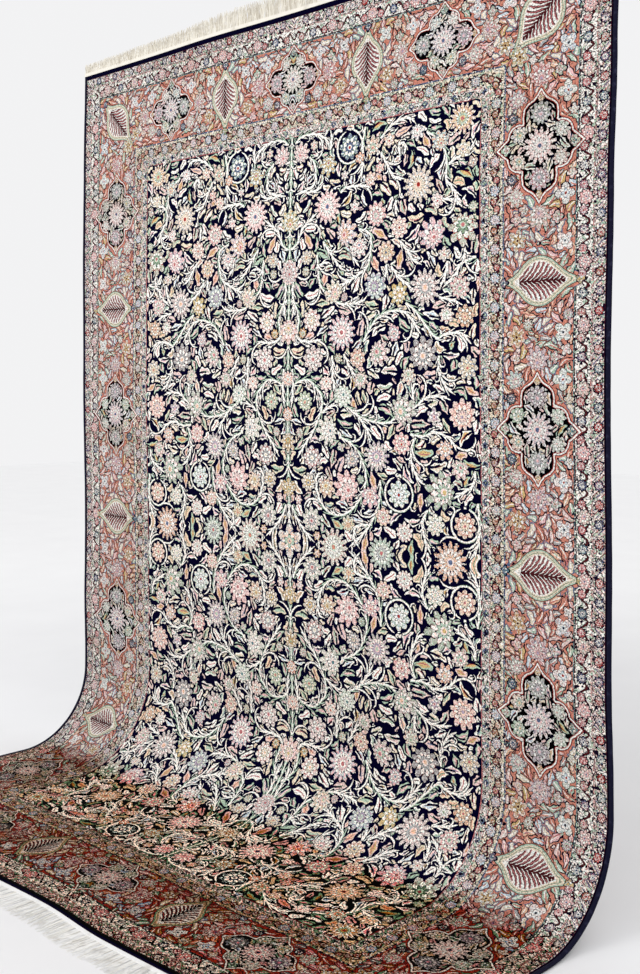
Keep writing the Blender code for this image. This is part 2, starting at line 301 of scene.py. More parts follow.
# Vines of the field: x and s of the points that each passes through, in millimetres
FIELD_VINES = (
    ((0, 352), (0, 1490)),
    ((13, 372), (36, 357), (71, 354), (111, 363), (138, 386), (147, 408)),
    ((147, 408), (153, 381), (147, 352)),
    ((276, 365), (268, 400), (268, 440), (266, 480), (250, 510)),
    ((71, 417), (91, 439), (96, 470), (89, 497), (58, 510), (18, 517)),
    ((60, 515), (100, 514), (128, 497)),
    ((190, 530), (205, 520), (250, 519), (289, 524), (305, 535)),
    ((329, 403), (364, 377), (400, 364), (430, 367), (449, 385)),
    ((333, 439), (356, 479), (378, 510), (418, 521)),
    ((395, 450), (393, 433), (405, 425), (415, 440), (410, 460)),
    ((484, 408), (511, 426), (535, 450), (547, 480), (549, 510), (547, 537), (570, 565), (596, 612)),
    ((551, 501), (578, 488), (612, 479), (634, 448)),
    ((506, 570), (540, 585), (575, 592), (596, 612)),
    ((4, 670), (27, 657), (49, 617), (84, 590), (107, 575)),
    ((8, 700), (18, 730), (14, 790), (20, 830), (12, 870)),
    ((107, 692), (111, 728), (120, 777), (147, 803), (178, 826), (213, 834), (267, 830), (290, 815)),
    ((111, 724), (140, 716), (160, 722)),
    ((129, 657), (156, 692), (191, 732), (215, 745)),
    ((258, 634), (298, 652), (300, 697), (289, 737), (262, 754), (213, 777), (180, 782)),
    ((231, 679), (240, 710), (262, 737)),
    ((386, 572), (386, 600), (392, 620)),
    ((355, 735), (351, 765), (340, 790)),
    ((369, 741), (395, 772), (427, 795), (444, 812)),
    ((400, 679), (422, 705), (444, 732), (470, 745)),
    ((551, 741), (542, 777), (524, 812)),
    ((636, 737), (591, 750), (573, 777), (533, 808)),
    ((524, 830), (564, 839), (596, 852)),
    ((276, 937), (302, 897), (333, 870), (378, 857), (418, 866), (444, 892), (467, 923)),
    ((418, 839), (449, 861), (480, 897), (516, 932), (542, 923), (591, 923), (622, 950)),
    ((8, 812), (27, 830), (40, 866), (36, 920), (75, 932), (129, 928)),
    ((18, 1008), (20, 1065), (13, 1119)),
    ((18, 1057), (44, 1043), (80, 1039), (107, 1057), (129, 1083), (129, 1119), (104, 1172),
     (67, 1217), (36, 1257)),
    ((169, 972), (171, 1039), (187, 1079)),
    ((209, 968), (240, 1017), (262, 1035)),
    ((129, 1128), (164, 1110), (196, 1106)),
    ((213, 1106), (251, 1128), (284, 1163), (307, 1199)),
    ((236, 1119), (267, 1137), (311, 1148), (356, 1150), (378, 1141), (427, 1119), (449, 1106),
     (484, 1083), (524, 1079), (560, 1088)),
    ((449, 1106), (440, 1070), (449, 1030)),
    ((200, 1194), (240, 1212), (267, 1243), (284, 1288), (276, 1332), (244, 1377), (200, 1403),
     (151, 1399), (120, 1368), (107, 1328), (111, 1301), (133, 1292)),
    ((333, 1301), (329, 1350), (311, 1399), (267, 1452), (222, 1488)),
    ((449, 1186), (436, 1210), (434, 1252), (456, 1292), (480, 1306)),
    ((431, 1177), (471, 1181), (511, 1170), (556, 1186), (575, 1215)),
    ((524, 977), (524, 1021), (547, 1057), (573, 1075)),
    ((484, 1368), (467, 1399), (471, 1434), (493, 1479)),
    ((631, 1261), (622, 1297), (587, 1319), (560, 1335)),
    ((13, 1390), (27, 1421), (58, 1457), (98, 1488)),
    ((302, 1421), (249, 1430), (240, 1461), (260, 1488)),
    ((637, 1340), (642, 1400), (632, 1450), (612, 1480)),
    ((600, 700), (602, 730), (590, 755)),
)
# x, s and radius of a vine that runs round a flower
FIELD_RINGS = ((0.220, 0.410, 0.045), (0.392, 1.334, 0.045), (0.598, 1.397, 0.042))

# A lobed medallion's outline for one quarter: along the border, across the border
MEDALLION_OUTLINE = (
    (0.134, 0.000), (0.120, 0.008), (0.109, 0.018), (0.101, 0.034), (0.090, 0.044),
    (0.072, 0.047), (0.054, 0.045), (0.056, 0.060), (0.049, 0.075), (0.036, 0.084),
    (0.024, 0.086), (0.017, 0.096), (0.008, 0.106), (0.000, 0.117),
)
# A drop flower's outline for one side: along the border, across it towards the rug's edge
DROP_OUTLINE = (
    (0.000, 0.112), (0.008, 0.092), (0.017, 0.073), (0.032, 0.054), (0.050, 0.030),
    (0.057, 0.006), (0.053, -0.018), (0.040, -0.038), (0.023, -0.054), (0.012, -0.069),
    (0.000, -0.094),
)
# Medallions and drops of one quarter: where along the border each has its centre
LONG_MEDALLIONS, LONG_DROPS = (0.490, 1.154), (0.806, HALF_LENGTH)
SHORT_MEDALLIONS, SHORT_DROPS = (0.000, 0.530), (0.276,)
CORNER_DROP = (0.812, 0.182)
SHORT_SCALE, SHORT_DROP_SCALE = 0.84, 0.94
# Finials at a drop's two tips: distance from its centre, radius, petals, ring and heart
DROP_FINIALS = (
    (0.112, 0.011, ("gold", "leaf", "ochre")),
    (-0.095, 0.010, ("slate", "teal", "navy")),
)

# Round a medallion, mirrored to both sides along the border:
# flower, along, across towards the field, radius, turn, petals, ring and heart
MEDALLION_FLOWERS = (
    ("aster", 0.000, 0.000, 0.044, 0, "pink", "ivory", "slate"),
    ("layered", 0.078, 0.000, 0.028, 90, "mauve", "grey", "pink"),
    ("palmette", 0.034, 0.058, 0.021, 40, "cream", "sage", "gold"),
    ("palmette", 0.034, -0.058, 0.021, 140, "sage", "ivory", "pink"),
    ("bud", 0.000, 0.093, 0.013, 0, "sage", "pink", "red"),
    ("bud", 0.000, -0.093, 0.013, 180, "sage", "teal", "red"),
    ("bud", 0.114, 0.000, 0.010, 90, "gold", "cream", "brown"),
    ("fan", 0.168, 0.000, 0.030, 90, "rose", "blush", "mauve"),
    ("star", 0.218, 0.060, 0.027, 20, "gold", "ochre", "brown"),
    ("wing", 0.228, -0.068, 0.024, 45, "sky", "ivory", "navy"),
    ("fan", 0.118, 0.064, 0.023, 60, "sage", "pink", "ivory"),
    ("wing", 0.118, -0.068, 0.025, 0, "ivory", "sky", "red"),
    ("rosette", 0.072, 0.074, 0.013, 0, "teal", "slate", "pink"),
    ("bud", 0.074, -0.086, 0.012, 90, "ivory", "cream", "navy"),
    ("bud", 0.168, 0.062, 0.014, 0, "pink", "cream", "leaf"),
    ("bud", 0.170, -0.050, 0.014, 180, "sage", "pink", "red"),
)

# Each guard: distance of its middle from the rug's edge, length of its repeat, and the
# flowers of one repeat as along, out, radius, petals, ring and heart
GUARDS = (
    (0.029, 0.0874, (
        (0.000, 0.000, 0.0105, "red", "blush", "brown"),
        (0.500, 0.000, 0.0105, "slate", "ivory", "navy"),
    )),
    (0.067, 0.1450, (
        (0.000, 0.000, 0.0175, "blush", "pink", "slate"),
        (0.200, 0.006, 0.0105, "rose", "pink", "brown"),
        (0.800, 0.006, 0.0105, "rose", "pink", "brown"),
        (0.500, 0.004, 0.0115, "slate", "ivory", "navy"),
    )),
    (0.308, 0.0700, (
        (0.000, 0.002, 0.0135, "sky", "blush", "slate"),
        (0.370, -0.003, 0.0085, "rose", "peach", "brown"),
        (0.630, 0.005, 0.0085, "rose", "ochre", "brown"),
    )),
)
# Meander of a guard: middle, length of a wave, height of a wave
MEANDERS = ((0.067, 0.03625, 0.011), (0.308, 0.0350, 0.010))
# Half widths of the vines, and the angle left open at each end of a ring
FIELD_VINE_HALF, RING_HALF, MEANDER_HALF, RING_GAP = 0.0031, 0.0028, 0.0019, 0.3


def smooth_path(points, step=0.004):
    """Even points along a curve through the given ones, each stretch a Catmull-Rom cubic."""
    points = np.asarray(points, float)
    ends = np.vstack([2 * points[0] - points[1], points, 2 * points[-1] - points[-2]])
    t = np.linspace(0, 1, 12, endpoint=False)[:, None]
    parts = []
    for a, b, c, d in zip(ends, ends[1:], ends[2:], ends[3:]):
        parts.append(0.5 * (2 * b + (c - a) * t + (2 * a - 5 * b + 4 * c - d) * t * t
                            + (3 * b - a - 3 * c + d) * t ** 3))
    dense = np.vstack([*parts, points[-1:]])
    gone = np.concatenate([[0], np.cumsum(np.hypot(*np.diff(dense, axis=0).T))])
    even = np.linspace(0, gone[-1], max(int(gone[-1] / step), 3))
    return np.stack([np.interp(even, gone, dense[:, axis]) for axis in (0, 1)], axis=1)


def along_path(points, path):
    """For each point: distance from a path, signed distance to its left, share gone.

    Each point is read against its nearest stretch of the path. Its sideways part is the
    signed distance, and its forward part is added to the length before that stretch. The
    first and last stretches run on straight, so that the share passes below 0 and over 1.
    """
    step = np.diff(path, axis=0)
    length = np.hypot(*step.T)
    unit = step / length[:, None]
    dx = points[:, None, 0] - path[:-1, 0]
    ds = points[:, None, 1] - path[:-1, 1]
    forward = dx * unit[:, 0] + ds * unit[:, 1]
    side = dx * unit[:, 1] - ds * unit[:, 0]
    gap = np.hypot(forward - np.clip(forward, 0, length), side)
    pick = gap.argmin(axis=1)
    at = np.arange(len(points))
    gone = np.concatenate([[0], np.cumsum(length)])
    return gap[at, pick], side[at, pick], (gone[pick] + forward[at, pick]) / gone[-1]


def border_point(along, from_edge, long_side):
    """x and s in the quarter of a place beside the long side or the short end."""
    return (SIDE - from_edge, along) if long_side else (along, from_edge)


def add_border_flower(row, centre, long_side, scale, flip):
    """Adds one flower of a medallion's group, laid along the border from its centre."""
    kind, along, inward, radius, turned, *colours = row
    place = border_point(centre + flip * along * scale, BORDER_CENTRE + inward * scale, long_side)
    # Up the flower is inward across the border at 0 degrees, and along it at 90.
    heading = math.radians(turned)
    along_way, inward_way = flip * math.sin(heading), math.cos(heading)
    way = (-inward_way, along_way) if long_side else (along_way, inward_way)
    if 0 <= place[0] and place[1] <= HALF_LENGTH:
        flowers.append((kind, *place, radius * (0.5 + 0.5 * scale), *way, *colours))


flowers = []
for kind, x, s, radius, turned, *colours in FIELD_FLOWERS:
    way = (math.sin(math.radians(turned)), -math.cos(math.radians(turned)))
    flowers.append((kind, x, s, radius, *way, *colours))
for long_side, centres, scale in (
    (True, LONG_MEDALLIONS, 1.0),
    (False, SHORT_MEDALLIONS, SHORT_SCALE),
):
    for centre in centres:
        for row in MEDALLION_FLOWERS:
            for flip in (1, -1) if row[1] else (1,):
                add_border_flower(row, centre, long_side, scale, flip)

# Outlined grounds of the border: 1 for a medallion, 2 for a drop; x, s, the direction
# that runs along the border, and the scale
grounds = [(1, SIDE - BORDER_CENTRE, s, 0.0, 1.0, 1.0) for s in LONG_MEDALLIONS]
grounds += [(1, x, BORDER_CENTRE, 1.0, 0.0, SHORT_SCALE) for x in SHORT_MEDALLIONS]
grounds += [(2, SIDE - BORDER_CENTRE, s, 0.0, 1.0, 1.0) for s in LONG_DROPS]
grounds += [(2, x, BORDER_CENTRE, -1.0, 0.0, SHORT_DROP_SCALE) for x in SHORT_DROPS]
grounds += [(2, *CORNER_DROP, -math.sqrt(0.5), -math.sqrt(0.5), 1.0)]
for shape, x, s, along_x, along_s, scale in grounds:
    if shape == 2:
        out = np.array([along_s, -along_x])
        for distance, radius, colours in DROP_FINIALS:
            place = np.array([x, s]) + out * distance * scale
            flowers.append(("bud", *place, radius, *out, *colours))
for middle, repeat, group in GUARDS:
    for long_side, reach in ((True, HALF_LENGTH), (False, SIDE)):
        start = middle if long_side else 0
        stop = reach if long_side else reach - middle
        for index in range(int(reach / repeat) + 2):
            for share, out, radius, *colours in group:
                # Repeats are counted from the middle of the side, so that both ends match.
                along = (index + share) * repeat
                along = reach - along if long_side else along
                if start + radius < along < stop + (radius if long_side else -radius):
                    place = border_point(along, middle + out, long_side)
                    flowers.append(("rosette", *place, radius, 0.0, 1.0, *colours))

# Vines: 0 ivory on the field, 1 dark brown in a guard; the path and its half width
vines = []
for points in FIELD_VINES:
    vines.append((0, smooth_path(np.array(points) / 1000), FIELD_VINE_HALF))
for x, s, radius in FIELD_RINGS:
    ring = np.linspace(RING_GAP, 2 * np.pi - RING_GAP, 24)
    path = np.stack([x + radius * np.sin(ring), s - radius * np.cos(ring)], axis=1)
    vines.append((0, smooth_path(path), RING_HALF))
for middle, wave, height in MEANDERS:
    for long_side, start, stop in ((True, middle, HALF_LENGTH), (False, 0, SIDE - middle)):
        along = np.arange(start, stop, 0.004)
        from_middle = (stop - along) if long_side else along
        distance = middle + height * np.cos(2 * np.pi * from_middle / wave)
        path = np.stack(np.broadcast_arrays(*border_point(along, distance, long_side)), axis=1)
        vines.append((1, path, MEANDER_HALF))

# What is left over between the vines and flowers is packed with branches, small flowers
# and leaves, each laid where there is most room and turned the way that the room runs.

ROOM_CELL = (0.003, 0.003)
BORDER_ROOM_START = 0.093
OUTLINE_HALF = 0.0045
PATH_REACH, LEAF_REACH, DISC_REACH = 0.06, 0.03, 0.16
# What a drop takes: the ends and half width of its axis, and the radius of its belly
DROP_ENDS, DROP_HALF, DROP_BELLY = (-0.100, 0.116), 0.013, 0.056
chance = np.random.default_rng(7)
room_x = np.arange(ROOM_CELL[0] / 2, SIDE, ROOM_CELL[0])
room_s = np.arange(ROOM_CELL[1] / 2, HALF_LENGTH, ROOM_CELL[1])
room_at = np.stack(np.meshgrid(room_x, room_s), axis=-1)
edge_distance = np.minimum(SIDE - room_at[..., 0], room_at[..., 1])
in_field = edge_distance - FIELD_EDGE
in_border = np.minimum(edge_distance - BORDER_ROOM_START, CORAL_END - edge_distance)
room = np.maximum(in_field, in_border)


def window(low, high, reach, cell):
    """The part of a map, of cells of that size, that lies within reach of a box."""
    first = np.maximum(((np.array(low) - reach) / cell).astype(int), 0)
    last = np.maximum(((np.array(high) + reach) / cell).astype(int) + 2, 0)
    return slice(first[1], last[1]), slice(first[0], last[0])


def take_room(path, half_width, reach=PATH_REACH):
    """Lowers the map near a path to the distance from it less its half width."""
    part = window(path.min(axis=0), path.max(axis=0), reach, ROOM_CELL)
    at = room_at[part]
    gap = along_path(at.reshape(-1, 2), path)[0].reshape(at.shape[:2])
    room[part] = np.minimum(room[part], gap - half_width)


def room_near(points):
    """The map read at the cell that holds each point."""
    cell = (np.asarray(points) / ROOM_CELL).astype(int)
    column = np.clip(cell[..., 0], 0, len(room_x) - 1)
    row = np.clip(cell[..., 1], 0, len(room_s) - 1)
    return room[row, column]


def take_disc(at, radius):
    """Lowers the map round a point to the distance from a disc there."""
    part = window(at, at, DISC_REACH, ROOM_CELL)
    room[part] = np.minimum(room[part], np.hypot(*(room_at[part] - at).T).T - radius)


for _, x, s, radius, *_ in flowers:
    take_disc((x, s), radius - 0.0010)
for _, path, half_width in vines:
    take_room(path, half_width + 0.0020)
for shape, x, s, along_x, along_s, scale in grounds:
    if shape == 2:
        axis = np.linspace(*DROP_ENDS, 4)[:, None] * scale * np.array([[along_s, -along_x]])
        take_room(np.array([x, s]) + axis, DROP_HALF)
        take_disc((x, s), DROP_BELLY * scale)
        continue
    quarter = np.array(MEDALLION_OUTLINE) * scale
    for flip_along, flip_out in ((1, 1), (1, -1), (-1, 1), (-1, -1)):
        along, out = quarter[:, 0] * flip_along, quarter[:, 1] * flip_out
        path = np.stack([x + along * along_x + out * along_s, s + along * along_s - out * along_x], 1)
        take_room(path, OUTLINE_HALF)

# Branches leave each field vine on alternate sides, and short hooks leave vines and
# branches alike: how often, how long, how far they turn, and their half width.
BRANCHES = ((0.060, 0.100, 2.6, 0.0025), (0.036, 0.036, 3.4, 0.0020))
BRANCH_POINTS, SHORTEST_BRANCH = 13, 8
for every, length, turned, half_width in BRANCHES:
    for kind, path, _ in list(vines):
        if kind:
            continue
        stride = max(int(every * len(path) / np.hypot(*np.diff(path, axis=0).T).sum()), 1)
        for count, index in enumerate(range(stride // 2, len(path) - 2, stride)):
            side = 1 if count % 2 else -1
            forward = path[index + 1] - path[index]
            share = np.linspace(0, 1, BRANCH_POINTS)
            headings = math.atan2(forward[1], forward[0]) + side * (0.45 + turned * share ** 1.5)
            steps = np.stack([np.cos(headings), np.sin(headings)], axis=1) * length / BRANCH_POINTS
            hook = path[index] + np.vstack([[0, 0], np.cumsum(steps[:-1], axis=0)])
            # The first points lie on the vine itself, and the rest are kept while they have room.
            clear = np.append(room_near(hook[4:]) > half_width, False).argmin() + 4
            if clear >= SHORTEST_BRANCH:
                vines.append((0, hook[:clear], half_width))
                take_room(hook[3:clear], half_width + 0.0014)

# Wide gaps take a small flower now and then, and leaves fill everything else.
SMALL_FLOWERS = ("rosette", "star", "bud", "palmette", "layered", "wing")
WIDE_GAP, FLOWER_SHARE, LARGEST_FLOWER = 0.0125, 0.08, 0.0150
SMALL_PETALS = ("pink", "peach", "gold", "cream", "sage", "blush", "ivory")
SMALL_RINGS, SMALL_HEARTS = ("ivory", "blush", "grey", "sage"), ("red", "slate", "rose", "brown")
# Where leaves lie, and the smallest and largest half width of one there
LEAF_SIZES = ((in_field, 0.0058, 0.0125), (in_border, 0.0042, 0.0084))
leaves = []
for region, smallest, largest in LEAF_SIZES:
    while True:
        open_room = np.where(region > 0, room, 0)
        row, column = np.unravel_index(open_room.argmax(), open_room.shape)
        radius = open_room[row, column]
        if radius < smallest:
            break
        centre = room_at[row, column]
        if radius > WIDE_GAP and chance.random() < FLOWER_SHARE:
            radius = min(radius, LARGEST_FLOWER)
            turned = chance.uniform(0, 2 * np.pi)
            dyes = [str(chance.choice(shades)) for shades in (SMALL_PETALS, SMALL_RINGS, SMALL_HEARTS)]
            flowers.append((str(chance.choice(SMALL_FLOWERS)), *centre, radius * 0.95,
                            math.cos(turned), math.sin(turned), *dyes))
            take_disc(centre, radius)
            continue
        radius = min(radius, largest * chance.uniform(0.75, 1.0))
        turns = np.linspace(0, np.pi, 12, endpoint=False)
        ways = np.stack([np.cos(turns), np.sin(turns)], axis=1)
        ends = np.minimum(
            room_near(centre + 1.8 * radius * ways), room_near(centre - 1.8 * radius * ways)
        ) + chance.uniform(0, 0.004, len(ways))
        way = ways[ends.argmax()] * chance.choice((-1, 1))
        half_long = radius * 1.40 + np.clip(ends.max() * 1.5, 0.2 * radius, 1.2 * radius)
        leaves.append((*centre, half_long, radius, *way))
        core = max(half_long - radius, 0.001) * way
        take_room(np.array([centre - core, centre + core]), radius, LEAF_REACH)


# The pile's mesh carries the design: each small face knows which vines, leaves, flower
# and ground are nearest, and its corners know where in each they are.

CELLS_ACROSS, CELLS_DOWN, HIDDEN_STEP = 246, 372, 6
pile_edge = SIDE - BINDING_WIDTH - PIECE_GAP
quarter_x = np.linspace(0, pile_edge, CELLS_ACROSS // 2 + 1)
quarter_s = np.linspace(0, HALF_LENGTH, CELLS_DOWN // 2 + 1)
QUARTER = (CELLS_DOWN // 2, CELLS_ACROSS // 2)
FACE_CELL = (quarter_x[1], quarter_s[1])
row, column, down, right = np.ogrid[: QUARTER[0], : QUARTER[1], :2, :2]
corners = np.stack(np.broadcast_arrays(quarter_x[column + right], quarter_s[row + down]), axis=-1)
middles = corners.mean(axis=(2, 3))
corners = corners.reshape(-1, 4, 2)


def nearest(boxes, count, reach, measure):
    """For each face, the numbers of the few motifs that measure lowest at its middle.

    Each motif is measured on the faces within reach of its box, and put in its place
    among those that the face already holds. A face with too few keeps motif 0.
    """
    lowest = np.full((count, *QUARTER), np.inf)
    pick = np.zeros((count, *QUARTER), int)
    for index, (low, high) in enumerate(boxes):
        part = window(low, high, reach, FACE_CELL)
        score = measure(index, middles[part])
        number = np.full(score.shape, index)
        for rank in range(count):
            held, held_number = lowest[rank][part].copy(), pick[rank][part].copy()
            better = score < held
            lowest[rank][part] = np.where(better, score, held)
            pick[rank][part] = np.where(better, number, held_number)
            score, number = np.where(better, held, score), np.where(better, held_number, number)
    return pick.reshape(count, -1)


def motif_frame(motifs, pick):
    """Each corner's place along and across the motif that its face belongs to."""
    offset = corners - motifs[pick, :2][:, None]
    way = motifs[pick, -2:][:, None]
    along = (offset * way).sum(axis=-1)
    across = offset[..., 0] * way[..., 1] - offset[..., 1] * way[..., 0]
    return along, across


def corner_numbers(*numbers):
    """Four numbers a corner, from arrays that hold one for each corner or each face."""
    return np.stack(np.broadcast_arrays(*numbers), axis=-1)


design, face_design = {}, {}
placed = np.array([row[1:6] for row in flowers])
FLOWER_SPAN, LEAF_SPAN, VINE_SPAN = 0.062, 0.026, 0.016


def flower_score(index, at):
    """The distance of places from a flower's middle, over the flower's radius."""
    return np.hypot(*(at - placed[index, :2]).T).T / placed[index, 2]


pick = nearest(placed[:, None, :2].repeat(2, 1), 1, FLOWER_SPAN, flower_score)[0]
along, across = motif_frame(placed, pick)
size = placed[pick, 2][:, None]
own = chance.random(len(flowers))[pick][:, None]
design["flower"] = corner_numbers(across / size, along / size, size, own)
face_design["flower_habit"] = np.array([FLOWERS[row[0]] for row in flowers])[pick]
for slot, name in ((6, "petal"), (7, "ring"), (8, "heart")):
    face_design["flower_" + name] = np.array([dyed(row[slot]) for row in flowers])[pick]

strewn = np.array(leaves)


def leaf_score(index, at):
    """How deep places lie from a leaf's middle: 1 on the ellipse of its half sizes."""
    x, s, half_long, half_wide, way_x, way_s = strewn[index]
    along = (at[..., 0] - x) * way_x + (at[..., 1] - s) * way_s
    across = (at[..., 0] - x) * way_s - (at[..., 1] - s) * way_x
    return np.hypot(along / half_long, across / half_wide)


LEAF_SLOTS = ("leaf_one", "leaf_two", "leaf_three")
leaf_own = chance.random(len(leaves))
picks = nearest(strewn[:, None, :2].repeat(2, 1), len(LEAF_SLOTS), LEAF_SPAN, leaf_score)
for name, pick in zip(LEAF_SLOTS, picks):
    along, across = motif_frame(strewn, pick)
    long, wide = strewn[pick, 2][:, None], strewn[pick, 3][:, None]
    design[name] = corner_numbers(along / long, across / wide, wide, leaf_own[pick][:, None])


def vine_score(index, at):
    """The distance of places from a vine's path, less its half width."""
    _, path, half_width = vines[index]
    return along_path(at.reshape(-1, 2), path)[0].reshape(at.shape[:2]) - half_width


VINE_SLOTS = ("vine_one", "vine_two")
GUARD_VINE = 10.0
boxes = [(path.min(axis=0), path.max(axis=0)) for _, path, _ in vines]
for name, pick in zip(VINE_SLOTS, nearest(boxes, len(VINE_SLOTS), VINE_SPAN, vine_score)):
    drawn = np.zeros((len(corners), 4, 4))
    for index, (kind, path, half_width) in enumerate(vines):
        held = np.flatnonzero(pick == index)
        _, side, gone = along_path(corners[held].reshape(-1, 2), path)
        length = np.hypot(*np.diff(path, axis=0).T).sum()
        numbers = (side, gone * length, (1 - gone) * length + GUARD_VINE * kind, half_width)
        drawn[held] = corner_numbers(*numbers).reshape(-1, 4, 4)
    design[name] = drawn


def outline_distance(points, outline, folded):
    """Signed distance from an outline, less than 0 inside it.

    The outline is folded about its axis or both axes, so each point is folded too. The
    size is the distance to the nearest stretch, and the sign comes from how many
    stretches a line from the point crosses.
    """
    points = np.abs(points) if folded == 2 else np.stack([np.abs(points[:, 0]), points[:, 1]], 1)
    path = np.array(outline)
    gap = along_path(points, path)[0]
    closed = np.vstack([path, [[0, 0], path[0]]]) if folded == 2 else np.vstack([path, path[:1]])
    a, b = closed[:-1], closed[1:]
    py = points[:, None, 1]
    spans = (a[:, 1] > py) != (b[:, 1] > py)
    rise = np.where(b[:, 1] == a[:, 1], 1, b[:, 1] - a[:, 1])
    crossing = a[:, 0] + (py - a[:, 1]) / rise * (b[:, 0] - a[:, 0])
    inside = (spans & (points[:, None, 0] < crossing)).sum(axis=1) % 2 == 1
    return np.where(inside, -gap, gap)


ground_at = np.array([row[1:3] for row in grounds])
pick = np.hypot(*(middles.reshape(-1, 2) - ground_at[:, None]).T).argmin(axis=1)
drawn = np.zeros((len(corners), 4, 4))
for index, (shape, x, s, along_x, along_s, scale) in enumerate(grounds):
    held = np.flatnonzero(pick == index)
    offset = corners[held] - (x, s)
    along = offset @ (along_x, along_s)
    outward = offset @ (along_s, -along_x)
    local = np.stack([along, outward], axis=-1).reshape(-1, 2) / scale
    outline = MEDALLION_OUTLINE if shape == 1 else smooth_path(DROP_OUTLINE, 0.003)
    drawn[held, :, 0] = outline_distance(local, outline, 2 if shape == 1 else 1).reshape(-1, 4)
    drawn[held, :, 1] = shape / 2
    drawn[held, :, 2], drawn[held, :, 3] = along / scale, outward / scale
design["ground"] = drawn


def mirrored(quarter):
    """A quarter's numbers for every face of the rug, corner by corner.

    The quarter's faces are mirrored about both centre lines, and so are each face's
    corners, which run from its upper left down and round.
    """
    quarter = quarter.reshape(*QUARTER, 2, 2, -1)
    row, column = np.arange(CELLS_DOWN), np.arange(CELLS_ACROSS)
    upper = row < QUARTER[0]
    outward = column >= QUARTER[1]
    quarter_row = np.where(upper, row, CELLS_DOWN - 1 - row)
    quarter_column = np.where(outward, column - QUARTER[1], QUARTER[1] - 1 - column)
    down, right = np.array([0, 1, 1, 0]), np.array([0, 0, 1, 1])
    down = np.where(upper[:, None], down, 1 - down)
    right = np.where(outward[:, None], right, 1 - right)
    spread = quarter[
        quarter_row[:, None, None], quarter_column[None, :, None], down[:, None], right[None]
    ]
    return spread.reshape(CELLS_DOWN * CELLS_ACROSS, 4, -1)


design = {name: mirrored(numbers) for name, numbers in design.items()}
for name, numbers in face_design.items():
    face_design[name] = mirrored(np.repeat(numbers[:, None], 4, axis=1))[:, 0]


def store(mesh, name, kind, domain, numbers):
    """Puts an array on a mesh as a named attribute."""
    field = {"FLOAT": "value", "FLOAT_VECTOR": "vector", "FLOAT_COLOR": "color"}[kind]
    numbers = np.asarray(numbers, np.float32).ravel()
    mesh.attributes.new(name, kind, domain).data.foreach_set(field, numbers)


def rug_layer(name, shown_off, hidden_off):
    """One closed layer of the rug, with the design on the side that shows.

    The side that shows is a fine grid on the sheet. The hidden side is six times coarser,
    and a rim joins them. A hidden cell beside the rim takes in all of the rim's points.
    """
    is_front = shown_off > hidden_off
    x = np.linspace(-pile_edge, pile_edge, CELLS_ACROSS + 1)
    s = np.linspace(0, RUG_LENGTH, CELLS_DOWN + 1)
    flat = np.stack(np.meshgrid(x, s), axis=-1)
    shown = np.arange(flat[..., 0].size).reshape(flat.shape[:2])
    cells = np.stack(
        [shown[:-1, :-1], shown[1:, :-1], shown[1:, 1:], shown[:-1, 1:]], axis=-1
    ).reshape(-1, 4)
    kept = np.zeros(shown.shape, bool)
    kept[::HIDDEN_STEP, ::HIDDEN_STEP] = True
    kept[[0, -1]] = kept[:, [0, -1]] = True
    hidden = np.where(kept, np.cumsum(kept).reshape(kept.shape) - 1 + shown.size, -1)
    loop = np.concatenate([shown[0, :-1], shown[:-1, -1], shown[-1, :0:-1], shown[:0:-1, 0]])
    under = hidden.ravel()[loop]
    rim = np.stack([loop, np.roll(loop, -1), np.roll(under, -1), under], axis=-1)
    side = np.arange(HIDDEN_STEP)
    still, back = 0 * side, HIDDEN_STEP - side
    walk_row = np.concatenate([still, side, still + HIDDEN_STEP, back])
    walk_column = np.concatenate([side, still + HIDDEN_STEP, back, still])
    top = np.arange(0, CELLS_DOWN, HIDDEN_STEP)[:, None, None]
    left = np.arange(0, CELLS_ACROSS, HIDDEN_STEP)[:, None]
    walks = hidden[top + walk_row, left + walk_column].reshape(-1, 4 * HIDDEN_STEP)
    walks = [walk[walk >= 0].tolist() for walk in walks]
    faces = cells.tolist() + rim.tolist() + walks
    if not is_front:
        # The side that shows is the back, so every face turns the other way round. The
        # first corner stays first, to keep the corners in step with their numbers.
        faces = [[face[0], *face[:0:-1]] for face in faces]
    points = np.vstack([
        sheet(flat[..., 0], flat[..., 1], shown_off).reshape(-1, 3),
        sheet(flat[kept][:, 0], flat[kept][:, 1], hidden_off),
    ])
    mesh = bpy.data.meshes.new(name)
    mesh.from_pydata(points.tolist(), [], faces)
    mesh.shade_smooth()
    laid = np.vstack([flat.reshape(-1, 2), flat[kept]])
    store(mesh, "laid_flat", "FLOAT_VECTOR", "POINT", np.hstack([laid, np.zeros((len(laid), 1))]))
    order = [0, 1, 2, 3] if is_front else [0, 3, 2, 1]
    for part, numbers in design.items():
        every = np.zeros((len(mesh.loops), 4))
        every[: len(cells) * 4] = numbers[:, order].reshape(-1, 4)
        # The hidden side and the rim lie far outside every motif.
        every[len(cells) * 4 :, :2] = 9
        store(mesh, part, "FLOAT_COLOR", "CORNER", every)
    for part, numbers in face_design.items():
        every = np.zeros((len(mesh.polygons), 4))
        every[: len(cells)] = numbers
        store(mesh, part, "FLOAT_COLOR", "FACE", every)
    return stood(name, mesh)


class Amount:
    """A number at each point of a surface: the socket that gives it, with plain sums."""

    def __init__(self, socket):
        self.socket = socket

    def __add__(self, other):
        return work("ADD", self, other)

    def __sub__(self, other):
        return work("SUBTRACT", self, other)

    def __rsub__(self, other):
        return work("SUBTRACT", other, self)

    def __mul__(self, other):
        return work("MULTIPLY", self, other)

    def __truediv__(self, other):
        return work("DIVIDE", self, other)

    def __abs__(self):
        return work("ABSOLUTE", self)

    def __lt__(self, other):
        return work("LESS_THAN", self, other)

    def __gt__(self, other):
        return work("GREATER_THAN", self, other)

    __radd__, __rmul__ = __add__, __mul__


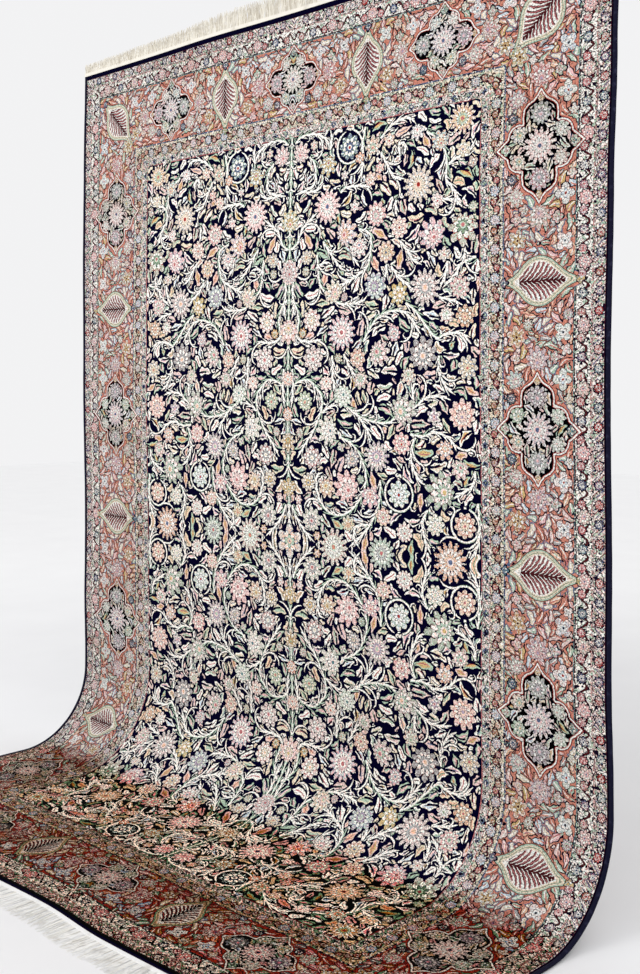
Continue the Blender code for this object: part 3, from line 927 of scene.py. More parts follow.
def feed(socket, value):
    """Links a socket to what gives its value, or sets the value on it."""
    if isinstance(value, Amount):
        value = value.socket
    if isinstance(value, bpy.types.NodeSocket):
        socket.id_data.links.new(value, socket)
    else:
        socket.default_value = value


def work(operation, *values):
    """A Math node on the values."""
    tree = next(value.socket.id_data for value in values if isinstance(value, Amount))
    node = tree.nodes.new("ShaderNodeMath")
    node.operation = operation
    for socket, value in zip(node.inputs, values):
        feed(socket, value)
    return Amount(node.outputs[0])


def eased_step(value, low, high, start=0.0, end=1.0):
    """Runs from start to end as the value goes from low to high, with soft ends."""
    node = value.socket.id_data.nodes.new("ShaderNodeMapRange")
    node.interpolation_type = "SMOOTHSTEP"
    for socket, number in zip(node.inputs, (value, low, high, start, end)):
        feed(socket, number)
    return Amount(node.outputs[0])


def laid_over(under, over, share, blend="MIX"):
    """The colour under, with the colour over laid on it by that share."""
    node = share.socket.id_data.nodes.new("ShaderNodeMix")
    node.data_type, node.blend_type = "RGBA", blend
    feed(node.inputs["Factor"], share)
    feed(node.inputs["A"], under)
    feed(node.inputs["B"], over)
    return node.outputs["Result"]


def attribute(tree, name):
    """The outputs of a node that reads a mesh attribute."""
    node = tree.nodes.new("ShaderNodeAttribute")
    node.attribute_name = name
    return node.outputs


def parted(vector):
    """A vector's three numbers."""
    node = vector.id_data.nodes.new("ShaderNodeSeparateXYZ")
    feed(node.inputs[0], vector)
    return [Amount(socket) for socket in node.outputs]


def read(tree, name):
    """A mesh attribute's four numbers."""
    outputs = attribute(tree, name)
    return [*parted(outputs["Vector"]), Amount(outputs["Alpha"])]


def new_material(name, roughness, sheen, specular):
    """A material's node tree and its shader, with the finish that is the same all over."""
    material = bpy.data.materials.new(name)
    material.use_nodes = True
    shader = material.node_tree.nodes["Principled BSDF"]
    for setting, value in (
        ("Roughness", roughness), ("Sheen Weight", sheen), ("Specular IOR Level", specular),
    ):
        shader.inputs[setting].default_value = value
    return material, material.node_tree, shader


def raised(shader, height, strength, distance):
    """Bump on a shader, of that height and depth."""
    bump = shader.id_data.nodes.new("ShaderNodeBump")
    bump.inputs["Strength"].default_value = strength
    bump.inputs["Distance"].default_value = distance
    feed(bump.inputs["Height"], height)
    feed(shader.inputs["Normal"], bump.outputs["Normal"])


def noise(tree, place, scale, detail=2.0):
    """Noise of that many bumps a metre."""
    node = tree.nodes.new("ShaderNodeTexNoise")
    tree.links.new(place, node.inputs["Vector"])
    node.inputs["Scale"].default_value = scale
    node.inputs["Detail"].default_value = detail
    return Amount(node.outputs["Fac"])


def banded(value, stops):
    """A colour for each band of a value: the silk of the last stop that it has passed."""
    node = value.socket.id_data.nodes.new("ShaderNodeValToRGB")
    ramp = node.color_ramp
    ramp.interpolation = "CONSTANT"
    span = stops[-1][0] * 1.01
    for index, (start, silk) in enumerate(stops):
        stop = ramp.elements[index] if index < 2 else ramp.elements.new(start / span)
        stop.position = start / span
        stop.color = dyed(silk)
    feed(node.inputs[0], value / span)
    return node.outputs[0]


def chosen(value, silks):
    """One of a few silks for a value from 0 to 1, each taking an equal share of it."""
    return banded(value * len(silks), [(index, silk) for index, silk in enumerate(silks)])


# distance from the rug's edge at which each band starts, and its silk
BANDS = (
    (0.0000, "navy"), (0.0135, "brown"), (0.0155, "blush"), (0.0430, "brown"),
    (0.0445, "blush"), (0.0462, "red"), (0.0475, "ivory"), (0.0865, "brown"),
    (0.0885, "teal"), (0.0920, "coral"), (0.2840, "slate"), (0.2885, "cream"),
    (0.3265, "rose"), (0.3285, "ivory"), (0.3315, "grey"), (0.3490, "rose"),
    (0.3520, "navy"), (0.4000, "navy"),
)
# Guards with slanted bars: where each starts and ends, the length of its repeat, its silks
BARRED_GUARDS = (
    (0.0155, 0.0430, 0.0218, ("ivory", "blush", "slate", "blush", "sage", "rose")),
    (0.3315, 0.3490, 0.0150, ("ivory", "blush", "grey", "sage", "rose")),
)
# The inmost guard's diamonds: middle, half size, repeat, half width of their stripe
DIAMONDS = (0.3402, 0.0105, 0.0454, 0.0087)
FIELD_SILKS = ("ivory", "peach", "gold", "cream", "sage", "pink", "ivory", "blush", "sky", "sage")
RIM_SILKS = ("ivory", "ivory", "cream", "ivory", "blush", "sage")
BORDER_SILKS = ("sage", "cream", "blush", "sky", "peach", "sage", "gold", "grey", "pink", "coral")


def framed_leaf(tree, name, stray):
    """A place in a leaf: how deep it lies, 0 in the middle and 1 at the leaf's packed
    edge, then the leaf's width and number, and the place along it and out from its rib.

    The rib is a parabola from base to tip. The depth mixes an ellipse, the length of the
    coordinates, with a lens, the square of one and the size of the other, so that the leaf
    comes to points. A sine along the leaf swells and pinches it.
    """
    along, across, wide, own = read(tree, name)
    along = along + stray[0] * 40.0
    bend = (work("FRACT", own * 7.3) - 0.5) * 2.3
    rib = across + stray[1] * 60.0 - bend * (0.75 - along * along)
    rib = rib * (along * 0.40 + 1.0)
    swell = work("SINE", along * 7.0 + own * 20.0) * 0.16 + 1.0
    depth = work("SQRT", along * along + rib * rib) * 0.4 + (along * along + abs(rib)) * 0.6
    depth = depth * swell
    return depth, wide, own, along, rib


# How far a leaf may run past its packed edge where no other leaf is near
FREE_EDGE = 0.0032
VEIN_SILKS = ("rose", "red", "brown", "leaf", "slate")


def drawn_leaves(tree, colour, stray, ground, dark_ground, field):
    """Leaves packed side by side, each held off its neighbours by a line of the ground.

    A place belongs to the leaf that it lies least deep in. Its margin is twice its
    distance from the next leaf, or its distance from the edge where no leaf is near, and
    the bands of the leaf follow from it: a rim, a thin vein and a body. A slit from the
    base parts a barb from the body. The rim and gap are widest in the field, then on the
    other dark grounds.
    """
    framed = [framed_leaf(tree, name, stray) for name in LEAF_SLOTS]
    margins = []
    for leaf in framed:
        others = [other[0] for other in framed if other is not leaf]
        rival = work("MINIMUM", work("MINIMUM", *others), work("DIVIDE", FREE_EDGE, leaf[1]) + 1.0)
        margins.append((rival - leaf[0]) * leaf[1])
    holds = [margin > 0.0 for margin in margins]
    margin = work("MAXIMUM", work("MAXIMUM", *margins[:2]), margins[2])
    own, along, rib = (sum((leaf[part] * held for leaf, held in zip(framed, holds)), 0.0)
                       for part in (2, 3, 4))
    slit = (abs(rib - (along + 0.9) * 0.40) < 0.20) * (along < 0.20) * (own > 0.25)
    body = laid_over(chosen(own, BORDER_SILKS), chosen(own, FIELD_SILKS), dark_ground)
    vein = laid_over(dyed("ivory"), chosen(work("FRACT", own * 5.1), VEIN_SILKS), dark_ground)
    rim = laid_over(dyed("slate"), dyed("ink"), own > 0.20)
    rim = laid_over(rim, chosen(work("FRACT", own * 3.7), RIM_SILKS), dark_ground)
    rim_start = field * 0.0013 + dark_ground * 0.0022 + 0.0010
    rim_end = field * 0.0022 + dark_ground * 0.0022 + 0.0038
    colour = laid_over(colour, rim, margin > rim_start)
    colour = laid_over(colour, body, margin > rim_end)
    on_vein = (abs(rib - 0.1) < 0.22 - dark_ground * 0.10) * (margin > rim_end + 0.0008)
    colour = laid_over(colour, vein, on_vein)
    return laid_over(colour, ground, slit * (margin > 0.0))


def drawn_vine(tree, name, colour, stray, dark):
    """A stem that narrows to its tip, with side shoots, edged with the dark of its ground.

    The shoots repeat along the stem, on each side in turn: each is a stroke whose distance
    from the stem grows as it goes, and which narrows as it grows.
    """
    side, gone, left, half = read(tree, name)
    in_guard = left > GUARD_VINE / 2
    left = left - in_guard * GUARD_VINE
    side = side + stray[0]
    length = (gone > 0.0) * (left > 0.0)
    taper = work("SQRT", work("MINIMUM", work("MAXIMUM", left, 0.0) / 0.025, 1.0))
    beat = work("FRACT", gone / 0.026 + (side > 0.0) * 0.5)
    stroke = abs(abs(side) - half * (beat * 3.4 + 0.2)) - half * (0.80 - beat * 0.55)
    shoots = (1.0 - in_guard) * (half > 0.0030) * (left > 0.015)
    edge = work("MINIMUM", abs(side) - half * taper, stroke + (1.0 - shoots) * 0.1)
    colour = laid_over(colour, dark, (edge < 0.0022 - in_guard * 0.0017) * length)
    silk = laid_over(dyed("ivory"), dyed("sage"), (side > half * 0.50) * (left > 0.10))
    silk = laid_over(silk, dyed("brown"), in_guard)
    return laid_over(colour, silk, (edge < 0.0) * length)


LARGE_FLOWER = 0.018


def drawn_flower(tree, colour, stray, dark, mottle):
    """A flower: outer petals with dark between their tips, inner petals, and a heart.

    The petals are a cosine wave in the angle round the middle, raised to a power that
    points them. A flower leans by growing with the cosine of the angle from its top. Large
    flowers have paler petals with ivory tips.
    """
    across, along, size, own = read(tree, "flower")
    petals, notch, point, lean = read(tree, "flower_habit")
    petal, ring, heart = (
        attribute(tree, "flower_" + part)["Color"] for part in ("petal", "ring", "heart")
    )
    across = across + stray[0] / size
    along = along + stray[1] / size + lean
    reach = work("SQRT", across * across + along * along) + 0.0001
    turn = work("ARCTAN2", across, along)
    reach = reach / (lean * (along / reach) + 1.0)
    grain = mottle - 0.5
    turn = turn + grain * 0.30
    wave = abs(work("COSINE", turn * petals * 0.5))
    half_wave = abs(work("SINE", turn * petals * 0.5))
    cut, half_cut = (notch * (1.0 - work("POWER", ridge, point)) for ridge in (wave, half_wave))
    depth = reach / (1.0 - cut)
    middle = reach / (0.76 - half_cut * 0.9)
    inner = reach / (0.48 - cut * 0.6)
    line = chosen(work("FRACT", own * 9.1), ("rose", "red", "slate", "leaf", "brown"))
    large = size > LARGE_FLOWER
    petal = laid_over(petal, dyed("ivory"), (own * 0.4 + 0.15) * large)
    tip = laid_over(petal, dyed("ivory"), eased_step(depth + grain * 2.0, 0.70, 0.90) * large)
    painted = laid_over(tip, ring, grain + own * 0.2 > 0.14)
    painted = laid_over(painted, dark, (wave < 0.26) * (depth > 0.50))
    crease = abs(work("FRACT", mottle * 6.0 + own) - 0.5)
    painted = laid_over(painted, line, (crease < 0.10) * (depth > 0.60))
    painted = laid_over(painted, line, middle < 1.0)
    in_middle = (middle < 0.90) * (half_wave > 0.30)
    painted = laid_over(painted, petal, in_middle)
    painted = laid_over(painted, dyed("ivory"), in_middle * (grain < 0.03))
    painted = laid_over(painted, dark, inner < 1.0)
    painted = laid_over(painted, ring, (inner < 0.86) * (wave > 0.30))
    painted = laid_over(painted, tip, reach < 0.21)
    painted = laid_over(painted, heart, reach < 0.12)
    colour = laid_over(colour, dark, (depth - 1.0) * size < 0.0034 - large * 0.0014)
    return laid_over(colour, painted, depth < 1.0)


# Distance from its outline at which each band of a border ground starts, less than 0
# inside it, and the band's silk
MEDALLION_BANDS = (
    (0.0040, "red"), (0.0026, "ink"), (0.0014, "ivory"), (-0.0024, "red"), (-0.0040, "black"),
)
DROP_BANDS = (
    (0.0120, "slate"), (0.0104, "coral"), (0.0036, "ink"), (0.0020, "sage"), (-0.0014, "cream"),
    (-0.0044, "leaf"), (-0.0060, "cream"), (-0.0092, "ivory"),
)
# A drop's spray: rise of its barbs and how it slackens, their repeat, its half width and ends
SPRAY = (1.50, 14.0, 0.0130, 0.046, -0.052, 0.074)


def drawn_grounds(tree, colour, stray):
    """Medallion and drop grounds, each a set of bands by distance from its outline.

    A drop holds a feathered spray: a stem on its axis, and barbs that repeat along it,
    rise with the distance from it and narrow to their tips. Returned with the colour:
    where a medallion's dark ground is, where leaves are kept clear of outlines, the colour
    of the medallion's outline, and where that outline runs.
    """
    distance, shape, along, outward = read(tree, "ground")
    distance = distance + stray[0] * 0.5
    medallion = (shape > 0.4) * (shape < 0.6)
    drop = (shape > 0.9) * (shape < 1.1)
    outline = dyed("black")
    for depth, silk in MEDALLION_BANDS:
        outline = laid_over(outline, dyed(silk), distance < depth)
    colour = laid_over(colour, outline, medallion * (distance < MEDALLION_BANDS[0][0]))
    for depth, silk in DROP_BANDS:
        colour = laid_over(colour, dyed(silk), drop * (distance < depth))
    rise, slack, repeat, half_wide, low, high = SPRAY
    along, outward = along + stray[0] * 1.5, outward + stray[1] * 2.0
    beat = outward - abs(along) * (rise - abs(along) * slack) + (along > 0.0) * repeat * 0.5
    beat = work("FRACT", beat / repeat)
    inside = drop * (distance < DROP_BANDS[-1][0] - 0.002) * (abs(along) < half_wide)
    inside = inside * (outward > low) * (outward < high)
    colour = laid_over(colour, dyed("brown"), inside * (beat < 0.80 - abs(along) * 9.0))
    colour = laid_over(
        colour, dyed("rose"), inside * (beat < 0.40) * (beat > 0.20) * (abs(along) > 0.007)
    )
    colour = laid_over(colour, dyed("brown"), inside * (abs(along) < 0.0016))
    dark_ground = medallion * (distance < MEDALLION_BANDS[-1][0])
    beside_medallion = medallion * (abs(distance + 0.0010) < 0.0075)
    kept_clear = work("MAXIMUM", beside_medallion, drop * (distance < 0.0045))
    return colour, dark_ground, kept_clear, outline, medallion * (abs(distance + 0.0002) < 0.0040)


def scrolled(tree, colour, laid, where, scale, silks):
    """Small scrolls that fill a ground: scraps of two silks where noise is low or high,
    and lines of a third along the levels of a slower noise."""
    scraps = noise(tree, laid, scale, 1.0)
    lines = abs(work("FRACT", noise(tree, laid, scale * 0.6, 1.0) * 7.0) - 0.5)
    colour = laid_over(colour, dyed(silks[0]), where * (scraps < 0.42))
    colour = laid_over(colour, dyed(silks[1]), where * (scraps > 0.60))
    return laid_over(colour, dyed(silks[2]), where * (lines < 0.130))


# How far a line strays from its chart, and the knots' waves in radians a metre, 1.5 mm each
STRAY, KNOT_WAVE = 0.0045, 4200.0
# What the dye is multiplied by in uneven knots, partly painted glint and shade, in a deeper dye lot and
# in each zone
WARMER, GREENER = (1.12, 0.95, 0.90, 1), (0.90, 1.02, 1.04, 1)
PALER_DYE_AND_GLINT, DEEPER_DYE_AND_SHADE = (1.28, 1.28, 1.28, 1), (0.48, 0.46, 0.45, 1)
OLD_LOT = (0.62, 0.50, 0.42, 1)
FIELD_DEPTH, CORAL_DEPTH, GUARD_DEPTH = (
    (0.93, 0.92, 0.91, 1), (0.76, 0.75, 0.75, 1), (0.84, 0.82, 0.81, 1)
)
# Painted shade where the rug lies on the floor, for its nap seen from the deeper side: the contrast it
# gains and what it is multiplied by
NAP_SHADE_GAMMA, NAP_SHADE_LIFT = 2.9, (1.30, 1.18, 1.16, 1)


def knotted_silk(name, roughness, sheen, knot_depth):
    """The design in silk: bands and guards, grounds, leaves, vines and flowers in turn,
    then uneven dye partly painted as glint and shade, rows of knots, and painted shade where the nap
    lies on the floor."""
    material, tree, shader = new_material(name, roughness, sheen, 0.01)
    laid = attribute(tree, "laid_flat")["Vector"]
    x, s, _ = parted(laid)
    wander = tree.nodes.new("ShaderNodeTexNoise")
    tree.links.new(laid, wander.inputs["Vector"])
    wander.inputs["Scale"].default_value = 110.0
    parts = tree.nodes.new("ShaderNodeSeparateColor")
    tree.links.new(wander.outputs["Color"], parts.inputs[0])
    stray = [(Amount(socket) - 0.5) * STRAY for socket in parts.outputs[:2]]
    mottle = noise(tree, laid, 170.0, 2.0)
    speck = noise(tree, laid, 260.0, 2.0)

    from_side = SIDE - abs(x)
    from_end = HALF_LENGTH - abs(s - HALF_LENGTH)
    edge = work("MINIMUM", from_side, from_end)
    beside_end = from_end < from_side
    along = abs(x) * beside_end + abs(s - HALF_LENGTH) * (1.0 - beside_end)
    edge = edge + stray[1] * 0.2
    field = edge > FIELD_EDGE
    coral = (edge > CORAL_START) * (edge < CORAL_END)
    colour = banded(edge, BANDS)
    guards = 1.0 - work("MAXIMUM", field, work("MAXIMUM", coral, edge < NAVY_EDGE))
    for low, high, repeat, silks in BARRED_GUARDS:
        bars = chosen(work("FRACT", (along + edge) / repeat), silks)
        colour = laid_over(colour, bars, (edge > low) * (edge < high))
    middle, half, repeat, stripe = DIAMONDS
    far = abs(work("FRACT", along / repeat) - 0.5) * repeat + abs(edge - middle)
    colour = laid_over(colour, dyed("slate"), (far < half) * (abs(edge - middle) < stripe))
    colour = laid_over(colour, dyed("ink"), far < half * 0.45)
    colour = scrolled(tree, colour, laid, guards, 90.0, ("ivory", "sage", "ink"))
    colour, black_ground, kept_clear, outline, on_outline = drawn_grounds(tree, colour, stray)
    dark_ground = work("MAXIMUM", field, black_ground)
    dark = laid_over(dyed("ink"), dyed("navy"), dark_ground)
    drawn = work("MAXIMUM", coral * (1.0 - kept_clear), field)
    ground = scrolled(tree, dyed("coral"), laid, coral, 60.0, ("peach", "sage", "rose"))
    ground = laid_over(ground, dark, dark_ground)
    leafed = drawn_leaves(tree, colour, stray, ground, dark_ground, field)
    colour = laid_over(colour, leafed, drawn)
    for slot in VINE_SLOTS[::-1]:
        colour = drawn_vine(tree, slot, colour, stray, dark)
    colour = drawn_flower(tree, colour, stray, dark, mottle)
    colour = laid_over(colour, outline, on_outline)

    # Each knot takes its own share of the dye: some warmer and some greener. The finer speck, some
    # paler and some deeper, is uneven dye and painted glint and shade of knots catching the light more
    # or less.
    for change, value, low, high in (
        (WARMER, mottle, 0.50, 0.70), (GREENER, mottle, 0.50, 0.32),
        (PALER_DYE_AND_GLINT, speck, 0.42, 0.62), (DEEPER_DYE_AND_SHADE, speck, 0.50, 0.34),
    ):
        colour = laid_over(colour, change, eased_step(value, low, high), "MULTIPLY")
    # The dye lots differ in soft bands across the rug, most of all in the coral.
    bands = tree.nodes.new("ShaderNodeMapping")
    bands.inputs["Scale"].default_value = (1.2, 5.0, 1.0)
    tree.links.new(laid, bands.inputs["Vector"])
    lots = noise(tree, bands.outputs["Vector"], 1.6, 3.0)
    lot = eased_step(lots, 0.50, 0.80) * (0.55 - field * 0.40)
    colour = laid_over(colour, OLD_LOT, lot, "MULTIPLY")
    # The border and its guards are dyed a little deeper than the field.
    elsewhere = 1.0 - work("MAXIMUM", field, coral)
    for zone, depth in ((field, FIELD_DEPTH), (coral, CORAL_DEPTH), (elsewhere, GUARD_DEPTH)):
        colour = laid_over(colour, depth, zone, "MULTIPLY")

    # Where the rug lies on the floor, found from its upward normal, its colour is painted darker and
    # deeper: painted shade for the nap seen from its deeper side.
    upward = parted(tree.nodes.new("ShaderNodeNewGeometry").outputs["Normal"])[2]
    lying_shade = eased_step(upward + stray[0] * 12.0, 0.88, 0.98)
    deeper = tree.nodes.new("ShaderNodeGamma")
    feed(deeper.inputs["Color"], colour)
    deeper.inputs["Gamma"].default_value = NAP_SHADE_GAMMA
    deeper = laid_over(deeper.outputs[0], NAP_SHADE_LIFT, lying_shade, "MULTIPLY")
    feed(shader.inputs["Base Color"], laid_over(colour, deeper, lying_shade))
    feed(shader.inputs["Roughness"], noise(tree, laid, 40.0) * 0.2 + roughness)
    shader.inputs["Sheen Roughness"].default_value = 0.4
    knots = work("SINE", x * KNOT_WAVE) * work("SINE", s * KNOT_WAVE)
    raised(shader, knots * 0.3 + speck, 0.35, knot_depth)
    return material


silk_pile = rug_layer("silk_pile", PILE_THICKNESS / 2, 0.0)
silk_pile.data.materials.append(knotted_silk("pile_silk", 0.65, 0.003, 0.0012))
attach(silk_pile, "root")
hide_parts("rug_body")


# The back of the rug. The same knots seen from behind, where each is looped round its
# warps and beaten down flat, so the design shows again, drier and without any nap.

knotted_back = rug_layer("knotted_back", -PILE_THICKNESS / 2, -PIECE_GAP / 2)
knotted_back.data.materials.append(knotted_silk("back_silk", 0.80, 0.02, 0.0008))
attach(knotted_back, "root")
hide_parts("rug_body")


# The side cords. The outermost warps of each long side are overcast with navy silk
# thread into a firm rounded edge, wound side by side down the whole length.

BINDING_THICKNESS = 0.007
CORD_SIDES, CORD_STATIONS = 14, 700
THREAD_PITCH = 0.0028
SHADED_HOLLOW_NAVY, RIDGE_NAVY, WORN_NAVY = (
    (0.002, 0.002, 0.005, 1), (0.006, 0.006, 0.024, 1), (0.05, 0.05, 0.10, 1)
)


def tube(name, points):
    """A closed mesh from rows of rings: each ring is joined to the next, and the ends capped."""
    rings, count = points.shape[:2]
    index = np.arange(rings * count).reshape(rings, count)
    after = np.roll(index, -1, axis=1)
    faces = np.stack([index[:-1], index[1:], after[1:], after[:-1]], axis=-1).reshape(-1, 4).tolist()
    faces += [index[0].tolist(), index[-1, ::-1].tolist()]
    mesh = bpy.data.meshes.new(name)
    mesh.from_pydata(points.reshape(-1, 3).tolist(), [], faces)
    mesh.shade_smooth()
    return mesh


def wound_cord(name, side):
    """An oval carried down the rug's edge, its thickness wandering a little.

    Round the oval the angle turns once, and down the edge the oval follows the sheet at
    that place. The hollows between turns of thread are a slow wave in its size.
    """
    half = BINDING_WIDTH / 2
    turn = np.linspace(0, -2 * np.pi * side, CORD_SIDES, endpoint=False)
    s = np.linspace(0, RUG_LENGTH, CORD_STATIONS)[:, None]
    lumps = 1 - 0.05 * (0.5 + 0.5 * np.sin(s * 61 + 2 * np.sin(s * 17)))
    across = side * (SIDE - half) + half * np.cos(turn) * lumps * side
    lift = (BINDING_THICKNESS - PILE_THICKNESS) / 2
    off = lift + BINDING_THICKNESS / 2 * np.sin(turn) * lumps * side
    mesh = tube(name, sheet(across, s + 0 * across, off))
    laid = np.stack(np.broadcast_arrays(turn * half, s, 0 * across), axis=-1)
    store(mesh, "laid_round", "FLOAT_VECTOR", "POINT", laid)
    return stood(name, mesh)


def overcast_silk(name):
    """Navy thread: a ridge for each turn, slanted round the cord, the hollows painted darker as painted
    shade, with worn high spots.
    """
    material, tree, shader = new_material(name, 0.5, 0.01, 0.06)
    laid = attribute(tree, "laid_round")["Vector"]
    around, down, _ = parted(laid)
    ridge = abs(work("SINE", (down + around * 0.12) * (math.pi / THREAD_PITCH)))
    worn = noise(tree, laid, 70.0, 3.0)
    # The hollows between the ridges are painted darker: painted shade.
    colour = laid_over(SHADED_HOLLOW_NAVY, RIDGE_NAVY, eased_step(ridge, 0.1, 0.7))
    colour = laid_over(colour, WORN_NAVY, eased_step(worn, 0.52, 0.80, 0.0, 0.5))
    feed(shader.inputs["Base Color"], colour)
    feed(shader.inputs["Roughness"], worn * 0.25 + 0.5)
    raised(shader, ridge + worn * 0.4, 0.7, 0.0008)
    return material


navy_thread = overcast_silk("navy_thread")
for name, side in (("left_binding", -1), ("right_binding", 1)):
    cord = wound_cord(name.replace("binding", "cord"), side)
    cord.data.materials.append(navy_thread)
    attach(cord, "root")
    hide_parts(name)


# The fringes. The rug's own warps run out past its woven ends through a narrow ivory
# web and hang loose as soft silk yarns: standing up past the top edge, and combed out
# level on the floor past the foot.

WEB_DEPTH, WEB_THICKNESS = 0.012, 0.003
LOCKS, YARNS_PER_LOCK = 100, 34
YARN_STATIONS, YARN_SIDES = 6, 3
# x, how far the top fringe stands up
TOP_LOCK_LENGTHS = ((-1.00, 0.034), (-0.60, 0.042), (-0.20, 0.060), (0.20, 0.066), (1.00, 0.062))
FLOOR_LOCK_LENGTH = 0.068
FRINGE_SEED, SHADE_SEED = 41, 3
DULL_WARP, IVORY_WARP = (0.56, 0.51, 0.42, 1), (0.84, 0.81, 0.73, 1)
PALE_WARP, SOILED_WARP = (0.92, 0.92, 0.91, 1), (0.34, 0.29, 0.22, 1)


def yarn_mesh(name, lines, thickness, web, palest):
    """Many thin yarns and the web they leave, as one mesh.

    A yarn is a three-sided tube: at each station its corners stand off the line in three
    fixed directions, by a width that narrows to the tip. The web is a flat closed band.
    Each yarn's shade is a random number up to the palest, and the web's is in the middle.
    """
    yarns, stations = lines.shape[:2]
    turn = np.linspace(0, 2 * np.pi, YARN_SIDES, endpoint=False)
    ahead = np.gradient(lines, axis=1)
    ahead /= np.linalg.norm(ahead, axis=-1, keepdims=True)
    first = np.cross(ahead, (0.3, -0.8, 0.5))
    first /= np.linalg.norm(first, axis=-1, keepdims=True)
    second = np.cross(ahead, first)
    ring = first[:, :, None] * np.cos(turn)[:, None] + second[:, :, None] * np.sin(turn)[:, None]
    narrowing = np.linspace(1, 0.45, stations)[None, :, None, None]
    points = (lines[:, :, None] + ring * thickness[:, None, None, None] * narrowing).reshape(-1, 3)
    index = np.arange(len(points)).reshape(yarns, stations, YARN_SIDES)
    after = np.roll(index, -1, axis=2)
    tubes = np.stack([index[:, :-1], after[:, :-1], after[:, 1:], index[:, 1:]], axis=-1)
    caps = np.vstack([index[:, 0, ::-1], index[:, -1]])
    web_rings, web_sides = web.shape[:2]
    strip = len(points) + np.arange(web_rings * web_sides).reshape(web_rings, web_sides)
    beside = np.roll(strip, -1, axis=1)
    band = np.stack([strip[:-1], beside[:-1], beside[1:], strip[1:]], axis=-1).reshape(-1, 4)
    faces = tubes.reshape(-1, 4).tolist() + caps.tolist() + band.tolist()
    faces += [strip[0, ::-1].tolist(), strip[-1].tolist()]
    mesh = bpy.data.meshes.new(name)
    mesh.from_pydata(np.vstack([points, web.reshape(-1, 3)]).tolist(), [], faces)
    shades = np.random.default_rng(SHADE_SEED).uniform(palest - 1, palest, yarns)
    web_shade = np.full(web_rings * web_sides, palest - 0.5)
    shade = np.concatenate([np.repeat(shades, stations * YARN_SIDES), web_shade])
    store(mesh, "yarn_shade", "FLOAT", "POINT", shade)
    return stood(name, mesh)


def fringe_silk(name):
    """Ivory warp silk: each yarn its own shade, finely twisted, greyed in places."""
    material, tree, shader = new_material(name, 0.5, 0.15, 0.5)
    place = tree.nodes.new("ShaderNodeTexCoord").outputs["Object"]
    shade = read(tree, "yarn_shade")[0]
    soiled = noise(tree, place, 30.0, 3.0)
    twist = noise(tree, place, 900.0, 1.0)
    colour = laid_over(DULL_WARP, IVORY_WARP, eased_step(shade, 0.0, 0.8))
    colour = laid_over(colour, PALE_WARP, eased_step(shade, 0.9, 1.5))
    colour = laid_over(colour, SOILED_WARP, eased_step(soiled, 0.5, 0.8, 0.0, 0.4))
    feed(shader.inputs["Base Color"], colour)
    feed(shader.inputs["Roughness"], twist * 0.3 + 0.5)
    raised(shader, twist, 0.4, 0.0005)
    return material


ivory_yarn = fringe_silk("ivory_yarn")
pitch = RUG_WIDTH / LOCKS
lock = np.repeat(np.arange(LOCKS), YARNS_PER_LOCK)
web_x = np.linspace(-SIDE, SIDE, LOCKS + 1)
reach = np.linspace(0, 1, YARN_STATIONS)

# Standing yarns: each rises from the web, sways with its lock and spreads from it.
strew = np.random.default_rng(FRINGE_SEED)
spread = strew.uniform(-0.5, 0.5, len(lock))
x = -SIDE + pitch * (lock + 0.5 + spread * 0.92)
length = eased(x, TOP_LOCK_LENGTHS) * strew.uniform(0.62, 1.0, len(lock))
sway = 0.006 * np.sin(lock * 0.55) + strew.normal(0, 0.006, len(lock)) + 0.004 * spread
back = strew.uniform(-0.0035, 0.0025, len(lock))
root = sheet(x, 0)
root[:, 1] += strew.uniform(-0.0011, 0.0011, len(lock))
lines = root[:, None] + np.stack([
    sway[:, None] * reach ** 1.5 + 0.0012 * np.sin(6 * reach + lock[:, None] * 1.7),
    back[:, None] * reach ** 2,
    PIECE_GAP + WEB_DEPTH * 0.8 + length[:, None] * reach,
], axis=-1)
edge_line = sheet(web_x, 0)
web_corners = ((0, -1), (0, 1), (1, 1), (1, -1))
web = np.stack([
    edge_line + (0, WEB_THICKNESS / 2 * side, PIECE_GAP + WEB_DEPTH * up) for up, side in web_corners
], axis=1)
top_yarn = yarn_mesh("top_fringe_yarn", lines, strew.uniform(0.0009, 0.0013, len(lock)), web, 1.0)

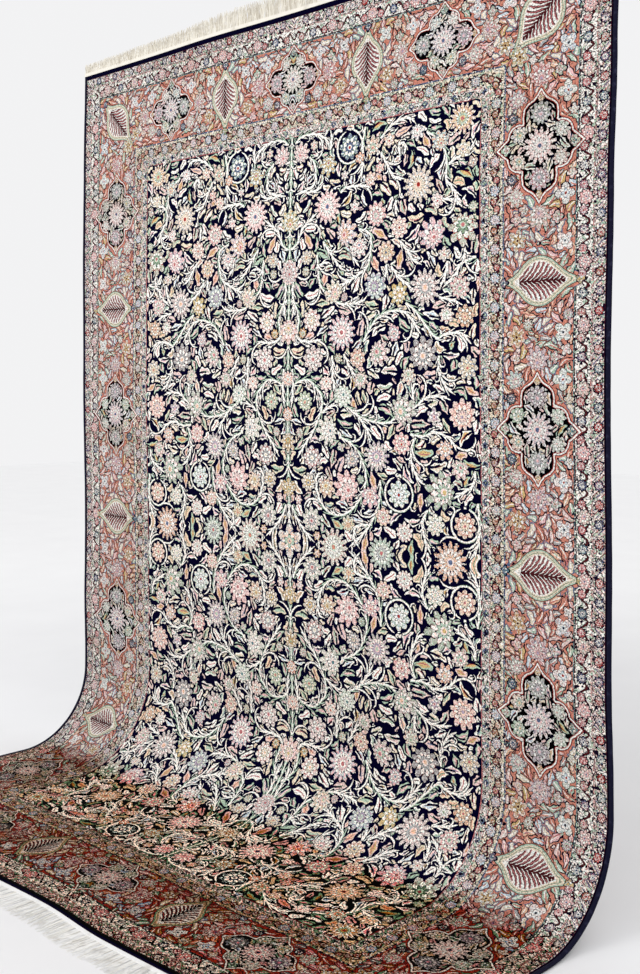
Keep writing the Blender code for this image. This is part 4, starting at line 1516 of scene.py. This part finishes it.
# Lying yarns: each runs out from the web, level on the floor, and wanders sideways.
strew = np.random.default_rng(FRINGE_SEED + 1)
spread = strew.uniform(-0.5, 0.5, len(lock))
x = -SIDE + pitch * (lock + 0.5 + spread * 0.80)
length = FLOOR_LOCK_LENGTH * strew.uniform(0.70, 1.14, len(lock))
sway = 0.007 * np.sin(lock * 0.37 + 1) + strew.normal(0, 0.005, len(lock)) - 0.004 * spread
root = sheet(x, RUG_LENGTH)
lines = root[:, None] + np.stack([
    sway[:, None] * reach ** 1.6,
    -(PIECE_GAP + WEB_DEPTH * 0.8 + length[:, None] * reach),
    0 * sway[:, None] * reach,
], axis=-1)
lines[..., 2] = 0.0011 + strew.uniform(0, 0.0016, len(lock))[:, None] * (1 - reach) ** 0.7
edge_line = sheet(web_x, RUG_LENGTH)
web = np.stack([
    np.stack([
        edge_line[:, 0],
        edge_line[:, 1] - PIECE_GAP - WEB_DEPTH * out,
        0 * web_x + WEB_THICKNESS * (up + 1) / 2,
    ], axis=-1)
    for out, up in web_corners
], axis=1)
# The yarns on the floor are painted paler than those at the top: painted light where they lie on the
# bright floor.
floor_yarn = yarn_mesh("floor_fringe_yarn", lines, strew.uniform(0.0006, 0.0010, len(lock)), web, 2.0)

for yarn, node in ((top_yarn, "top_fringe"), (floor_yarn, "floor_fringe")):
    yarn.data.materials.append(ivory_yarn)
    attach(yarn, "root")
    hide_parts(node)


# The setting: a pale floor, painted darker near the rug as painted shade and whiter far off, a plain
# pale surround and soft studio light.

FLOOR_REACH = 12.0
NEAR_SHADED_PAINT, FAR_PAINT = (0.80, 0.80, 0.81, 1), (1.0, 1.0, 1.0, 1)
floor_mesh = bpy.data.meshes.new("floor")
floor_corners = [(FLOOR_REACH * x, FLOOR_REACH * y, 0) for x, y in ((-1, -1), (1, -1), (1, 1), (-1, 1))]
floor_mesh.from_pydata(floor_corners, [], [(0, 1, 2, 3)])
floor = stood("floor", floor_mesh)
floor_shaded_paint, tree, shader = new_material("floor_shaded_paint", 0.7, 0.0, 0.5)
place = tree.nodes.new("ShaderNodeTexCoord").outputs["Object"]
x, y, _ = parted(place)
# The floor is painted darker within a few metres of the rug, a painted shade, and paler further out,
# with a little random tone.
paleness_and_shade = noise(tree, place, 3.0) * 0.3 + eased_step(work("SQRT", x * x + y * y), 1.5, 5.0, 0.0, 0.7)
feed(shader.inputs["Base Color"], laid_over(NEAR_SHADED_PAINT, FAR_PAINT, paleness_and_shade))
floor_mesh.materials.append(floor_shaded_paint)

world = bpy.data.worlds.new("studio")
bpy.context.scene.world = world
world.use_nodes = True
surround = world.node_tree.nodes["Background"]
surround.inputs["Color"].default_value = (0.99, 0.99, 1.0, 1)
surround.inputs["Strength"].default_value = 0.90
bpy.context.scene.view_settings.view_transform = "Standard"


def soft_light(name, place, aim, width, power):
    """A square soft light at a place, facing the point that it is aimed at."""
    data = bpy.data.lights.new(name, "AREA")
    data.size, data.energy = width, power
    way = (Vector(aim) - Vector(place)).to_track_quat("-Z", "Y").to_matrix().to_4x4()
    stood(name, data).matrix_world = Matrix.Translation(place) @ way


soft_light("window_light", (-1.5, -4.0, 2.6), (0, 0.2, 1.2), 2.5, 85)
soft_light("fill_light", (3.5, -3.0, 2.8), (0, 0.2, 1.0), 2.5, 30)
